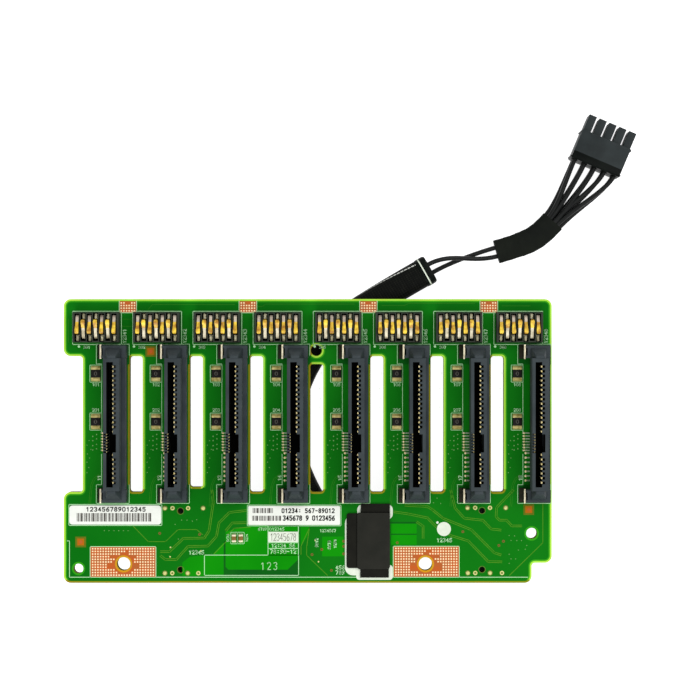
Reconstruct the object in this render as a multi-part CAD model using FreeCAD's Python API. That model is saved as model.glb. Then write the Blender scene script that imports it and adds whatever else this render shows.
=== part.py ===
import FreeCAD, Part
import math
import os
from FreeCAD import Vector

# Drive backplane board with its power cable, in millimetres.
# +X runs along the board, +Y across it, +Z up. The origin is the bottom centre of the board assembly.
# The component side faces up. The parts behind the board stand on z = 0 and carry it.

# ---- circuits of the power header and its plugs --------------------------------------------------------
circuit_columns = 5
circuit_pitch = 3.0
silo_width = 2.2
silo_height = 2.5
silo_gap = (0.5, 0.05)             # beside and above the silos in the header
header_wall = 0.7
circuits_span = (circuit_columns - 1) * circuit_pitch + silo_width

# ---- circuit board -------------------------------------------------------------------------------------
board_length = 135.8
board_width = 79.0
board_thickness = 2.36
board_corner = 2.0
under_height = circuit_pitch + silo_height + 2 * (silo_gap[1] + header_wall)   # taken up by the rear parts
board_top = under_height + board_thickness

bay_count = 8
bay_pitch = 16.75
first_bay_x = -58.83               # left silk line of the first drive connector

slot_width = 3.6
slot_top = 23.6
slot_bottom = -14.2
slot_corner = 0.8
first_slot_x = -47.73
shy_slot, shy_slot_bottom = 1, -12.8       # the second slot stops short of the others
key_slot, key_slot_top = 3, 21.4           # the fourth starts lower, under a locating hole
key_hole_xy, key_hole_diameter = (2.4, 25.2), 3.1

side_notch_depth = 5.3
corner_notch_width = 5.6
corner_notch_height = 5.6
notch_corner = 0.9

mount_hole_diameter = 3.7
mount_hole_spacing = 84.0
mount_hole_left = (-51.24, -34.2)
screw_hole_xy, screw_hole_diameter = (-63.8, -35.5), 2.7
guide_hole_xy, guide_hole_diameter = (62.3, -25.7), 3.06

# ---- drive connectors ----------------------------------------------------------------------------------
# Widths are measured from the left silk line of the bay, lengths from the connector's own middle.
drive_centre_y = 4.9
contact_pitch = 1.27
fine_pitch = 0.8
contact_half_span = 12.5 * contact_pitch
power_count = 15
signal_count = 7

base_height = 4.0
base_stand_off = 0.3               # room under the base for the solder feet
base_left, base_right = 3.9, 8.6
end_left, end_right = 1.9, 8.75
end_length = 3.5
rim_end_wall = 1.1
end_pocket_depth, end_pocket_length = 0.45, 2.0

rim_height = 8.5
rim_bottom = 3.2
rim_left, rim_right = 3.1, 7.6
nose_length, nose_top_length, nose_inset = 2.9, 0.8, 1.1

tongue_left, tongue_right = 4.25, 5.7
tongue_half_length = contact_half_span + 1.225     # with a blank margin past the last contact
drive_half_length = tongue_half_length + rim_end_wall + end_length
drive_foot_y = drive_centre_y - drive_half_length
tongue_floor_bottom, tongue_floor_top = 1.6, 2.2
floor_slit_left = 5.2
fine_port_right = 6.68
fine_port_floor = 2.6
key_length = 1.4                   # solid key beside the fine port
comb_left = 3.35
comb_slot_width = 0.45

blade_left = 5.35
blade_thickness = 0.32
blade_width = 0.5
blade_height = 7.4
foot_thickness = 0.2
fine_blade_left = 3.5
fine_blade_width = 0.34
fine_foot_left = 1.78

tab_thickness = 0.5
tab_length = 4.0
tab_height = 3.4
tab_foot_left = 0.35
tab_foot_thickness = 0.3

# ---- spring connectors along the top edge --------------------------------------------------------------
spring_count = 7
spring_pitch = 1.7
spring_body_length = 12.8
spring_body_width = 8.4
spring_body_height = 3.4
spring_offset_x = 0.28             # middle of the body, from the left silk line of the bay below
spring_gap = 0.8                   # above the drive connectors
spring_centre_y = drive_centre_y + drive_half_length + spring_gap + spring_body_width / 2
spring_slot_width = 1.25
spring_end_wall = 0.45
leaf_width = 0.95
leaf_thickness = 0.2
leaf_peak_height = 4.6
leaf_peak_offset = 1.15            # dome, from the middle of the body

# ---- chip parts ----------------------------------------------------------------------------------------
resistor_x = -0.14                 # from the left silk line of the bay
resistor_rows = (18.75, 5.4)
resistor_size = (2.6, 3.2, 0.6)
resistor_cap = 0.5
resistor_fillet = 0.6
capacitor_places = ((-20.5, -27.0), (-18.6, -27.0))
capacitor_size = (0.9, 2.0, 0.8)
capacitor_cap = 0.45
capacitor_fillet = 0.3

# ---- data receptacles behind the board -----------------------------------------------------------------
receptacle_places = {"left": (-35.4, -27.65), "right": (48.5, -27.65)}
receptacle_peg_spacing = 16.35
peg_hole_diameter = 1.7
shell_thickness = 0.3
shell_mouth, shell_rear = -7.4, 6.9        # along X, from the peg holes
shell_width = 18.7
latch_window = (2.4, 3.0)
latch_window_y = 5.2
insulator_clearance = 0.1
insulator_rear_length = 5.4
insulator_plate = 1.1
card_thickness = 1.1
card_width = 15.6
card_reach = 5.6
card_height = 3.0                  # middle of the tongue, above z = 0
lane_count = 18
lane_pitch = 0.8
lane_width = 0.4
lane_thickness = 0.15

# ---- power header and plugs ----------------------------------------------------------------------------
row_heights = ((under_height - circuit_pitch) / 2, (under_height + circuit_pitch) / 2)
header_centre_y = -27.8
header_mouth_x, header_rear_x = 13.3, 23.4
header_width = circuits_span + 2 * (silo_gap[0] + header_wall)
header_cavity_depth = 4.9
pin_side = 0.64
pin_length = 4.0

silo_length = 4.7
silo_bore = 1.6
plug_margin = 0.5
plug_width = circuits_span + 2 * plug_margin
plug_edge = 0.5
plug_lip = 0.6
plug_lip_depth = 0.35
cable_plug_length = 8.5
board_plug_length = 4.6
terminal_side = 1.4
terminal_bore = 0.8
terminal_inset = 0.5

# ---- cable ---------------------------------------------------------------------------------------------
# Routes are hand-set points; the height of a flat part's middle follows from its own thickness.
sleeve_width = 8.0
cable_gap = 0.3                    # between the sleeve and the board over it
sleeve_thickness = under_height - cable_gap
wire_diameter = 1.3
wire_flats = 8
flat_corner = 0.28                 # corner cut of the sleeve and splice, as a share of their thickness
cuff_width = 8.3
cuff_length = 3.2
fan_pitch = wire_diameter + 0.06
wrap_wall = 0.13
wrap_width = (circuit_columns - 1) * fan_pitch + wire_diameter + 2 * wrap_wall
wrap_thickness = 3.2

sleeve_route = [
    (0.6, -16.7), (-3.9, -8.6), (-6.0, 4.0), (-3.1, 17.5), (4.6, 29.6), (17.2, 38.4), (31.56, 46.64),
]
wrap_route = [(53.2, 53.07), (60.4, 55.1), (65.9, 58.1), (69.1, 61.7)]
link_spread = 1.25                 # from the middle of the cuff to each of its two wires
link_heights = (2 * wire_diameter + 2.7, 1.7)      # the crossing clears by a wire's width
link_straight = (4.5, 4.0)         # first and last run of these wires
fan_straight = (2.4, 4.5)
cable_plug_xy = (82.04, 80.4)      # middle of the plug's body
cable_plug_heading = 67.0          # degrees from +X to the mating direction

# ---- cover tape and labels -----------------------------------------------------------------------------
tape_x = (13.75, 22.85)
tape_y = (-35.6, drive_foot_y - 3.1)
tape_thickness = 0.9
tape_layer = 0.45
tape_side_fold = 2.95
tape_top_tab = (14.75, 2.45)
tape_bottom_tab = (14.6, 2.35)
tape_corner = 0.8
label_thickness = 0.12
labels = {
    "label_left": ((-66.3, -40.8), (drive_foot_y - 6.45, drive_foot_y - 1.15)),
    "label_middle": ((-16.55, 9.0), (drive_foot_y - 6.55, drive_foot_y - 1.3)),
}


# ---- shared shapes -------------------------------------------------------------------------------------
def box(x_range, y_range, z_range):
    corner = Vector(x_range[0], y_range[0], z_range[0])
    return Part.makeBox(x_range[1] - x_range[0], y_range[1] - y_range[0], z_range[1] - z_range[0], corner)


def about(middle, size):
    return (middle - size / 2, middle + size / 2)


def rod(centre, diameter, z_range):
    return Part.makeCylinder(diameter / 2, z_range[1] - z_range[0], Vector(centre[0], centre[1], z_range[0]))


def rounded_box(x_range, y_range, z_range, radius):
    solid = box(x_range, y_range, z_range)
    upright = [edge for edge in solid.Edges if abs(edge.tangentAt(edge.FirstParameter).z) > 0.99]
    return solid.makeFillet(radius, upright)


def prism(points, direction):
    return Part.Face(Part.makePolygon(points + points[:1])).extrude(direction)


def side_prism(outline, y_range):
    points = [Vector(x, y_range[0], z) for x, z in outline]
    return prism(points, Vector(0, y_range[1] - y_range[0], 0))


def strip_outline(line, thickness):
    # closed outline of a bent strip, mitred at each bend of its middle line
    left, right = [], []
    for i, (a, b) in enumerate(line):
        before = Vector(a - line[i - 1][0], b - line[i - 1][1], 0) if i else None
        after = Vector(line[i + 1][0] - a, line[i + 1][1] - b, 0) if i + 1 < len(line) else None
        runs = [run.normalize() for run in (before, after) if run is not None]
        normals = [Vector(-run.y, run.x, 0) for run in runs]
        miter = (normals[0] + normals[-1]).normalize()
        reach = thickness / 2 / miter.dot(normals[0])
        left.append((a + miter.x * reach, b + miter.y * reach))
        right.append((a - miter.x * reach, b - miter.y * reach))
    return left + right[::-1]


# ---- circuit board -------------------------------------------------------------------------------------
def bay_x(bay):
    return first_bay_x + bay * bay_pitch


def mount_holes():
    left_x, y = mount_hole_left
    return [(left_x, y), (left_x + mount_hole_spacing, y)]


def peg_holes(place):
    return [(place[0], place[1] + side * receptacle_peg_spacing / 2) for side in (-1, 1)]


def board_slots():
    through = about(board_top - board_thickness / 2, board_thickness + 2)
    slots = []
    for i in range(bay_count - 1):
        x = first_slot_x + i * bay_pitch
        bottom = shy_slot_bottom if i == shy_slot else slot_bottom
        top = key_slot_top if i == key_slot else slot_top
        slots.append(rounded_box(about(x, slot_width), (bottom, top), through, slot_corner))
    left = -board_length / 2
    slots.append(rounded_box((left - 3, left + side_notch_depth), (slot_bottom, slot_top), through,
                             notch_corner))
    right = board_length / 2
    floor = -board_width / 2
    slots.append(rounded_box((right - corner_notch_width, right + 3),
                             (floor - 3, floor + corner_notch_height), through, notch_corner))
    return slots


def board_holes():
    through = about(board_top - board_thickness / 2, board_thickness + 2)
    holes = [(xy, mount_hole_diameter) for xy in mount_holes()]
    holes += [(key_hole_xy, key_hole_diameter), (screw_hole_xy, screw_hole_diameter),
              (guide_hole_xy, guide_hole_diameter)]
    for place in receptacle_places.values():
        holes += [(xy, peg_hole_diameter) for xy in peg_holes(place)]
    return [rod(xy, diameter, through) for xy, diameter in holes]


def notch_mouths():
    # where the notches open through the outer edge
    left, right, floor = -board_length / 2, board_length / 2, -board_width / 2
    return [(left, slot_top), (left, slot_bottom), (right, floor + corner_notch_height),
            (right - corner_notch_width, floor)]


def circuit_board():
    blank = rounded_box(about(0, board_length), about(0, board_width), (under_height, board_top),
                        board_corner)
    board = blank.cut(board_slots() + board_holes())
    mouths = notch_mouths()
    corners = [edge for edge in board.Edges
               if any(all(math.hypot(vertex.X - x, vertex.Y - y) < 0.01 for vertex in edge.Vertexes)
                      for x, y in mouths)]
    return board.makeFillet(board_corner, corners)


# ---- drive connectors ----------------------------------------------------------------------------------
def primary_contacts():
    # places along the connector of the power contacts and of the first signal port
    power = [contact_half_span - i * contact_pitch for i in range(power_count)]
    signal = [-contact_half_span + i * contact_pitch for i in range(signal_count)]
    return power, signal


def fine_contacts():
    power, signal = primary_contacts()
    middle = (power[-1] + signal[-1]) / 2
    return [middle + (i - (signal_count - 1) / 2) * fine_pitch for i in range(signal_count)]


def nose(side):
    # tapered guide at the end of the rim; the wedge tapers along its own Y and is then stood up
    near = drive_half_length - end_length
    foot = sorted((-side * near, -side * (near + nose_length)))
    tip = sorted((-side * near, -side * (near + nose_top_length)))
    wedge = Part.makeWedge(rim_left, base_height, foot[0], tip[0], rim_left + nose_inset,
                           rim_right, rim_height, foot[1], tip[1], rim_right - nose_inset)
    wedge.rotate(Vector(0, 0, 0), Vector(1, 0, 0), 90)
    return wedge


def drive_housing():
    rim_half = drive_half_length - end_length
    body = box((base_left, base_right), (-rim_half, rim_half), (base_stand_off, base_height))
    rim = box((rim_left, rim_right), (-rim_half, rim_half), (rim_bottom, rim_height))
    pieces = [rim]
    for side in (-1, 1):
        ends = sorted((side * rim_half, side * drive_half_length))
        end = box((end_left, end_right), ends, (0, base_height))
        pocket = box((end_left, end_left + end_pocket_depth), about(sum(ends) / 2, end_pocket_length),
                     (0, base_height))
        pieces += [end.cut(pocket), nose(side)]
    body = body.fuse(pieces).removeSplitter()

    power, signal = primary_contacts()
    tongue = about(0, 2 * tongue_half_length)
    above, below = rim_height + 1, 0
    cuts = [
        box((tongue_left, tongue_right), tongue, (tongue_floor_top, above)),
        box((floor_slit_left, tongue_right), tongue, (below, tongue_floor_top)),
        box((base_left, tongue_right), tongue, (below, tongue_floor_bottom)),
        box((tongue_left, fine_port_right), (signal[-1] + key_length / 2, power[-1] - key_length / 2),
            (fine_port_floor, above)),
    ]
    cuts += [box((comb_left, tongue_left), about(y, comb_slot_width), (rim_bottom, above))
             for y in fine_contacts()]
    return body.cut(cuts)


def blade(y):
    return box((blade_left, blade_left + blade_thickness), about(y, blade_width), (0, blade_height))


def fine_contact(y):
    # upright blade in the comb, with its solder foot reaching out to the left
    right = fine_blade_left + blade_thickness
    outline = [(fine_foot_left, 0), (right, 0), (right, blade_height), (fine_blade_left, blade_height),
               (fine_blade_left, foot_thickness), (fine_foot_left, foot_thickness)]
    return side_prism(outline, about(y, fine_blade_width))


def drive_contacts():
    power, signal = primary_contacts()
    solids = [blade(y) for y in power + signal]
    solids += [fine_contact(y) for y in fine_contacts()]
    return Part.makeCompound(solids)


def hold_down(side):
    y = side * (drive_half_length - end_length / 2)
    plate_left = end_left - tab_thickness
    outline = [(tab_foot_left, 0), (end_left, 0), (end_left, tab_height), (plate_left, tab_height),
               (plate_left, tab_foot_thickness), (tab_foot_left, tab_foot_thickness)]
    return side_prism(outline, about(y, tab_length))


# ---- spring connectors ---------------------------------------------------------------------------------
def spring_places():
    return [(i - (spring_count - 1) / 2) * spring_pitch for i in range(spring_count)]


def spring_side(i):
    # neighbouring leaves point opposite ways
    return -1 if i % 2 == 0 else 1


def spring_housing():
    half = spring_body_width / 2
    body = box(about(0, spring_body_length), (-half, half), (0, spring_body_height))
    slots = []
    for i, x in enumerate(spring_places()):
        side = spring_side(i)
        ends = sorted((side * (half + 1), -side * (half - spring_end_wall)))
        slots.append(box(about(x, spring_slot_width), ends, (-1, spring_body_height + 1)))
    return body.cut(slots)


def leaf(x, side):
    # foot and floor run on the board, then a back bend, a rise to the dome and a hooked tip
    half = spring_body_width / 2
    low = leaf_thickness / 2
    peak = leaf_peak_height - leaf_thickness / 2
    line = [(half - 0.45, low), (-half + spring_end_wall + 0.6, low), (leaf_peak_offset, peak),
            (leaf_peak_offset + 0.9, peak - 0.75)]
    outline = strip_outline([(side * y, z) for y, z in line], leaf_thickness)
    points = [Vector(x - leaf_width / 2, y, z) for y, z in outline]
    return prism(points, Vector(leaf_width, 0, 0))


def spring_contacts():
    return Part.makeCompound([leaf(x, spring_side(i)) for i, x in enumerate(spring_places())])


# ---- chip parts ----------------------------------------------------------------------------------------
def chip_body(size, cap):
    return box(about(0, size[0]), about(0, size[1] - 2 * cap), (0, size[2]))


def chip_terminals(size, cap, fillet):
    half = size[1] / 2
    outline = [(half - cap, 0), (half + fillet, 0), (half, size[2]), (half - cap, size[2])]
    solids = []
    for side in (-1, 1):
        points = [Vector(-size[0] / 2, side * y, z) for y, z in outline]
        solids.append(prism(points, Vector(size[0], 0, 0)))
    return Part.makeCompound(solids)


def placed(shape, x, y, z=0.0):
    copy = shape.copy()
    copy.translate(Vector(x, y, z))
    return copy


# ---- data receptacles ----------------------------------------------------------------------------------
def receptacle_shell(place):
    # folded sheet with its open mouth towards -X: a plate away from the board, and two sides up to it
    x_range = (place[0] + shell_mouth, place[0] + shell_rear)
    outer = box(x_range, about(place[1], shell_width), (0, under_height))
    inner = box((x_range[0] - 1, x_range[1] + 1), about(place[1], shell_width - 2 * shell_thickness),
                (shell_thickness, under_height + 1))
    windows = [box(about(place[0] + shell_mouth + 3.4, latch_window[0]),
                   about(place[1] + side * latch_window_y, latch_window[1]), (-1, shell_thickness + 1))
               for side in (-1, 1)]
    return outer.cut([inner] + windows)


def receptacle_insulator(place):
    inside = shell_width - 2 * (shell_thickness + insulator_clearance)
    floor = shell_thickness + insulator_clearance
    rear = place[0] + shell_rear
    block = box((rear - insulator_rear_length, rear), about(place[1], inside), (floor, under_height))
    plate = box((place[0] + shell_mouth + 0.6, rear), about(place[1], inside),
                (under_height - insulator_plate, under_height))
    card = box((rear - insulator_rear_length - card_reach, rear - insulator_rear_length),
               about(place[1], card_width), about(card_height, card_thickness))
    return block.fuse([plate, card]).removeSplitter()


def receptacle_contacts(place):
    # lanes along the tongue
    root = place[0] + shell_rear - insulator_rear_length
    lane_z = card_height - card_thickness / 2 - lane_thickness
    places = [place[1] + (i - (lane_count - 1) / 2) * lane_pitch for i in range(lane_count)]
    return Part.makeCompound([box((root - card_reach + 0.5, root), about(y, lane_width),
                                  (lane_z, lane_z + lane_thickness)) for y in places])


# ---- power header --------------------------------------------------------------------------------------
def circuit_places():
    # across and height of each circuit, seen from the mating side
    across = [(column - (circuit_columns - 1) / 2) * circuit_pitch for column in range(circuit_columns)]
    return [(y, z) for y in across for z in row_heights]


def power_header():
    body = box((header_mouth_x, header_rear_x), about(header_centre_y, header_width), (0, under_height))
    cavity = box((header_mouth_x - 1, header_mouth_x + header_cavity_depth),
                 about(header_centre_y, header_width - 2 * header_wall),
                 (header_wall, under_height - header_wall))
    return body.cut(cavity)


def header_pins():
    root = header_mouth_x + header_cavity_depth
    return Part.makeCompound([box((root - pin_length, root), about(header_centre_y + y, pin_side),
                                  about(z, pin_side)) for y, z in circuit_places()])


# ---- plugs ---------------------------------------------------------------------------------------------
def plug_housing(length, wired):
    # body from x = 0 (wire side) to x = length, square silos beyond; wired circuits stay closed at x = 0
    body = box((0, length), about(0, plug_width), (0, under_height))
    edges = [edge for edge in body.Edges if abs(edge.tangentAt(edge.FirstParameter).z) > 0.99]
    body = body.makeChamfer(plug_edge, edges)
    waist_reach = (plug_width / 2 - plug_lip_depth, plug_width)
    waist = [box((plug_lip, length - plug_lip), sorted(side * reach for reach in waist_reach),
                 (-1, under_height + 1)) for side in (-1, 1)]
    silos, bores = [], []
    for y, z in circuit_places():
        silos.append(box((length, length + silo_length), about(y, silo_width), about(z, silo_height)))
        near = terminal_inset if (y, z) in wired else -1
        bores.append(box((near, length + silo_length + 1), about(y, silo_bore), about(z, silo_bore)))
    return body.cut(waist).fuse(silos).removeSplitter().cut(bores)


def plug_terminals(length, wired):
    # crimped sockets on the floor of their bores
    lift = (silo_bore - terminal_side) / 2
    solids = []
    for y, z in wired:
        outer = box((terminal_inset, length + silo_length - terminal_inset), about(y, terminal_side),
                    about(z - lift, terminal_side))
        bore = box((length - 1, length + silo_length), about(y, terminal_bore),
                   about(z - lift, terminal_bore))
        solids.append(outer.cut(bore))
    return Part.makeCompound(solids)


def cable_plug_place(shape):
    # from the plug's own frame to where it lies on the table
    turned = shape.copy()
    turned.translate(Vector(-cable_plug_length / 2, 0, 0))
    turned.rotate(Vector(0, 0, 0), Vector(0, 0, 1), cable_plug_heading)
    turned.translate(Vector(cable_plug_xy[0], cable_plug_xy[1], 0))
    return turned


def board_plug_place(shape):
    return placed(shape, header_mouth_x - board_plug_length, header_centre_y)


cable_plug_wired = [place for place in circuit_places() if place[1] == row_heights[0]]
board_plug_wired = circuit_places()[-2:]


# ---- cable ---------------------------------------------------------------------------------------------
def route_path(points, name, diameter):
    # straight runs joined by tangent arcs, each as large as its two runs allow
    edges = []
    start = points[0]
    radii = []
    for before, corner, after in zip(points, points[1:], points[2:]):
        incoming = (corner - before)
        outgoing = (after - corner)
        reach = 0.45 * min(incoming.Length, outgoing.Length)
        half_turn = incoming.getAngle(outgoing) / 2
        incoming.normalize()
        outgoing.normalize()
        first = corner - incoming * reach
        last = corner + outgoing * reach
        radius = reach / math.tan(half_turn)
        radii.append(radius)
        inward = (outgoing - incoming).normalize()
        middle = corner + inward * (radius / math.cos(half_turn) - radius)
        edges.append(Part.LineSegment(start, first).toShape())
        edges.append(Part.Arc(first, middle, last).toShape())
        start = last
    edges.append(Part.LineSegment(start, points[-1]).toShape())
    path = Part.Wire(edges)
    print(name, "length %.1f," % path.Length, "tightest radius %.1f," % min(radii),
          "%.1f diameters" % (min(radii) / diameter))
    return path


def sweep(points, section, name, diameter):
    face = Part.Face(section)
    path = route_path(points, name, diameter)
    solid = path.makePipe(face)
    print(name, "volume %.1f, section times length %.1f" % (solid.Volume, face.Area * path.Length))
    return solid


def flat_section(at, heading, width, thickness):
    # across the heading, with its four corners cut off
    across = Vector(-heading.y, heading.x, 0).normalize()
    half, rise = width / 2, thickness / 2
    cut = flat_corner * thickness
    rim = [(half - cut, rise), (half, rise - cut), (half, cut - rise), (half - cut, -rise),
           (cut - half, -rise), (-half, cut - rise), (-half, rise - cut), (cut - half, rise)]
    points = [at + across * y + Vector(0, 0, z) for y, z in rim]
    return Part.makePolygon(points + points[:1])


def flat_tube(route, width, thickness, name):
    points = [Vector(x, y, thickness / 2) for x, y in route]
    return sweep(points, flat_section(points[0], points[1] - points[0], width, thickness), name, width)


def wire_tube(points, name):
    heading = (points[1] - points[0]).normalize()
    across = Vector(-heading.y, heading.x, 0).normalize()
    up = heading.cross(across)
    reach = wire_diameter / 2 / math.cos(math.pi / wire_flats)
    corners = []
    for i in range(wire_flats):
        angle = (i + 0.5) * 2 * math.pi / wire_flats
        corners.append(points[0] + across * reach * math.cos(angle) + up * reach * math.sin(angle))
    return sweep(points, Part.makePolygon(corners + corners[:1]), name, wire_diameter)


class Face:
    """A cut end that wires meet squarely: its middle on the table plan and the way they run there."""

    def __init__(self, middle, heading):
        self.middle = Vector(middle[0], middle[1], 0)
        self.heading = heading

    def point(self, across, height, ahead=0.0):
        aside = Vector(-self.heading.y, self.heading.x, 0)
        return self.middle + aside * across + self.heading * ahead + Vector(0, 0, height)


def route_heading(before, after):
    return Vector(after[0] - before[0], after[1] - before[1], 0).normalize()


def cable_faces():
    sleeve_start = Face(sleeve_route[0], route_heading(*sleeve_route[:2]))
    along = route_heading(*sleeve_route[-2:])
    cuff_end = Face(Vector(*sleeve_route[-1], 0) + along * cuff_length, along)
    wrap_start = Face(wrap_route[0], route_heading(*wrap_route[:2]))
    wrap_end = Face(wrap_route[-1], route_heading(*wrap_route[-2:]))
    turn = math.radians(cable_plug_heading)
    axis = Vector(math.cos(turn), math.sin(turn), 0)
    plug_rear = Face(Vector(*cable_plug_xy, 0) - axis * (cable_plug_length / 2), axis)
    return sleeve_start, cuff_end, wrap_start, wrap_end, plug_rear


def sleeve_cuff():
    heading = route_heading(*sleeve_route[-2:])
    start = Vector(*sleeve_route[-1], sleeve_thickness / 2)
    section = flat_section(start, heading, cuff_width, sleeve_thickness)
    return Part.Face(section).extrude(heading * cuff_length)


def lead_wires():
    # two wires, one above the other, from the board plug round to the start of the sleeve
    sleeve_start = cable_faces()[0]
    solids = []
    for y, z in board_plug_wired:
        start = Vector(header_mouth_x - board_plug_length, header_centre_y + y, z)
        back = (sleeve_start.middle.y - start.y) / sleeve_start.heading.y
        route = [start, sleeve_start.point(0, z, -back), sleeve_start.point(0, z)]
        solids.append(wire_tube(route, "lead wire"))
    return Part.makeCompound(solids)


def link_wires():
    # two wires that cross between the cuff and the taped splice, one well above the other
    sleeve_start, cuff_end, wrap_start, wrap_end, plug_rear = cable_faces()
    solids = []
    for side, z in zip((1, -1), link_heights):
        route = [
            cuff_end.point(side * link_spread, z),
            cuff_end.point(side * link_spread, z, link_straight[0]),
            wrap_start.point(-side * link_spread, wrap_thickness / 2, -link_straight[1]),
            wrap_start.point(-side * link_spread, wrap_thickness / 2),
        ]
        solids.append(wire_tube(route, "link wire"))
    return Part.makeCompound(solids)


def fan_wires():
    # five wires side by side out of the splice, spreading to the lower row of the cable's plug
    sleeve_start, cuff_end, wrap_start, wrap_end, plug_rear = cable_faces()
    solids = []
    for y, z in cable_plug_wired:
        across = y * fan_pitch / circuit_pitch
        route = [
            wrap_end.point(across, wrap_thickness / 2),
            wrap_end.point(across, wrap_thickness / 2, fan_straight[0]),
            plug_rear.point(y, z, -fan_straight[1]),
            plug_rear.point(y, z),
        ]
        solids.append(wire_tube(route, "fan wire"))
    return Part.makeCompound(solids)


# ---- cover tape and labels -----------------------------------------------------------------------------
def cover_tape():
    # folded black tape over the header's legs: a thick middle, a thin fold to the left, two tabs
    z = board_top
    main = rounded_box(tape_x, tape_y, (z, z + tape_thickness), tape_corner)
    thin = (z, z + tape_layer)
    fold = box((tape_x[0] - tape_side_fold, tape_x[0] + tape_corner),
               (tape_y[0] + 0.3, tape_y[1] - 0.2), thin)
    top = box((tape_top_tab[0], tape_x[1]), (tape_y[1] - tape_corner, tape_y[1] + tape_top_tab[1]), thin)
    bottom = box((tape_bottom_tab[0], tape_x[1] - 0.3),
                 (tape_y[0] - tape_bottom_tab[1], tape_y[0] + tape_corner), thin)
    return main.fuse([fold, top, bottom]).removeSplitter()


def label(x_range, y_range):
    return box(x_range, y_range, (board_top, board_top + label_thickness))


# ---- everything ----------------------------------------------------------------------------------------
def model():
    parts = {"circuit_board": circuit_board()}

    housing, contacts = drive_housing(), drive_contacts()
    spring_body, springs = spring_housing(), spring_contacts()
    hold_downs, resistors, resistor_ends = [], [], []
    for bay in range(bay_count):
        x = bay_x(bay)
        parts["drive_connector_%d" % (bay + 1)] = placed(housing, x, drive_centre_y, board_top)
        parts["drive_contacts_%d" % (bay + 1)] = placed(contacts, x, drive_centre_y, board_top)
        parts["spring_connector_%d" % (bay + 1)] = placed(spring_body, x + spring_offset_x, spring_centre_y,
                                                          board_top)
        parts["spring_contacts_%d" % (bay + 1)] = placed(springs, x + spring_offset_x, spring_centre_y,
                                                         board_top)
        hold_downs += [placed(hold_down(side), x, drive_centre_y, board_top) for side in (-1, 1)]
        for y in resistor_rows:
            body = chip_body(resistor_size, resistor_cap)
            ends = chip_terminals(resistor_size, resistor_cap, resistor_fillet)
            resistors.append(placed(body, x + resistor_x, y, board_top))
            resistor_ends.append(placed(ends, x + resistor_x, y, board_top))
    parts["hold_down_tabs"] = Part.makeCompound(hold_downs)
    parts["chip_resistors"] = Part.makeCompound(resistors)
    parts["resistor_terminals"] = Part.makeCompound(resistor_ends)

    body = chip_body(capacitor_size, capacitor_cap)
    ends = chip_terminals(capacitor_size, capacitor_cap, capacitor_fillet)
    parts["chip_capacitors"] = Part.makeCompound([placed(body, x, y, board_top) for x, y in capacitor_places])
    parts["capacitor_terminals"] = Part.makeCompound([placed(ends, x, y, board_top)
                                                      for x, y in capacitor_places])

    for side, place in receptacle_places.items():
        parts["data_shell_" + side] = receptacle_shell(place)
        parts["data_insulator_" + side] = receptacle_insulator(place)
        parts["data_contacts_" + side] = receptacle_contacts(place)

    parts["power_header"] = power_header()
    parts["power_header_pins"] = header_pins()
    parts["board_plug"] = board_plug_place(plug_housing(board_plug_length, board_plug_wired))
    parts["cable_plug"] = cable_plug_place(plug_housing(cable_plug_length, cable_plug_wired))
    parts["cable_plug_terminals"] = cable_plug_place(plug_terminals(cable_plug_length, cable_plug_wired))

    parts["cable_sleeve"] = flat_tube(sleeve_route, sleeve_width, sleeve_thickness, "cable sleeve")
    parts["sleeve_cuff"] = sleeve_cuff()
    parts["splice_wrap"] = flat_tube(wrap_route, wrap_width, wrap_thickness, "splice wrap")
    parts["lead_wires"] = lead_wires()
    parts["link_wires"] = link_wires()
    parts["fan_wires"] = fan_wires()

    parts["cover_tape"] = cover_tape()
    for name, (x_range, y_range) in labels.items():
        parts[name] = label(x_range, y_range)
    return parts


os.makedirs("parts", exist_ok=True)
for name, shape in model().items():
    shape.exportStep("parts/%s.step" % name)
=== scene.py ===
import bmesh
import bpy
import math
from mathutils import Matrix, Vector


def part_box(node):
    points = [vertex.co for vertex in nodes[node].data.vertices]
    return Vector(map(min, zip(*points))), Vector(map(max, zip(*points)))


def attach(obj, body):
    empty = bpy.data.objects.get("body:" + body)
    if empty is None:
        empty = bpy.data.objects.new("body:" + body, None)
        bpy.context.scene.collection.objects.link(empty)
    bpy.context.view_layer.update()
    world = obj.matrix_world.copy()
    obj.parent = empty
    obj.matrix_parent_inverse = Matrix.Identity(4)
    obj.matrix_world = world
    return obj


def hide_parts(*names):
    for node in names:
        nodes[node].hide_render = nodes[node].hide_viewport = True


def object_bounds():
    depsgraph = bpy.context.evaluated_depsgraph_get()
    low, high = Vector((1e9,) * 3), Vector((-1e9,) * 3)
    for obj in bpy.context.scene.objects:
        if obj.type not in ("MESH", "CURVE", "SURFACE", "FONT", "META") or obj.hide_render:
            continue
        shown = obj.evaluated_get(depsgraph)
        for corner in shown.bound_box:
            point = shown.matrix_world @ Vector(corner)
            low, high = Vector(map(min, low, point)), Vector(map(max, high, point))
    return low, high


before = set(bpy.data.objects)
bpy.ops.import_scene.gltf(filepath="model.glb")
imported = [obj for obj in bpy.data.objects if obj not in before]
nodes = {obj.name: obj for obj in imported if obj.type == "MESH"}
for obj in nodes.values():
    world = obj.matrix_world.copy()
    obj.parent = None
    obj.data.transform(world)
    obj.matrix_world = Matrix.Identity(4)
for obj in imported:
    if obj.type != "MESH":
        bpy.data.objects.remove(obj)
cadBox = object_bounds()

# Settings are in millimetres, and heights count from the board's top, unless a note says otherwise.
mm = 0.001
tiny = 1e-6                # metres; anything nearer than this counts as touching
boardLow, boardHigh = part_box("circuit_board")
boardTop = boardHigh.z
bayCount = 8


# Colour and material helpers.

def linear(red, green, blue):
    channels = [c / 255 for c in (red, green, blue)]
    return tuple(c / 12.92 if c <= 0.04045 else ((c + 0.055) / 1.055) ** 2.4 for c in channels) + (1.0,)


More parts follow.
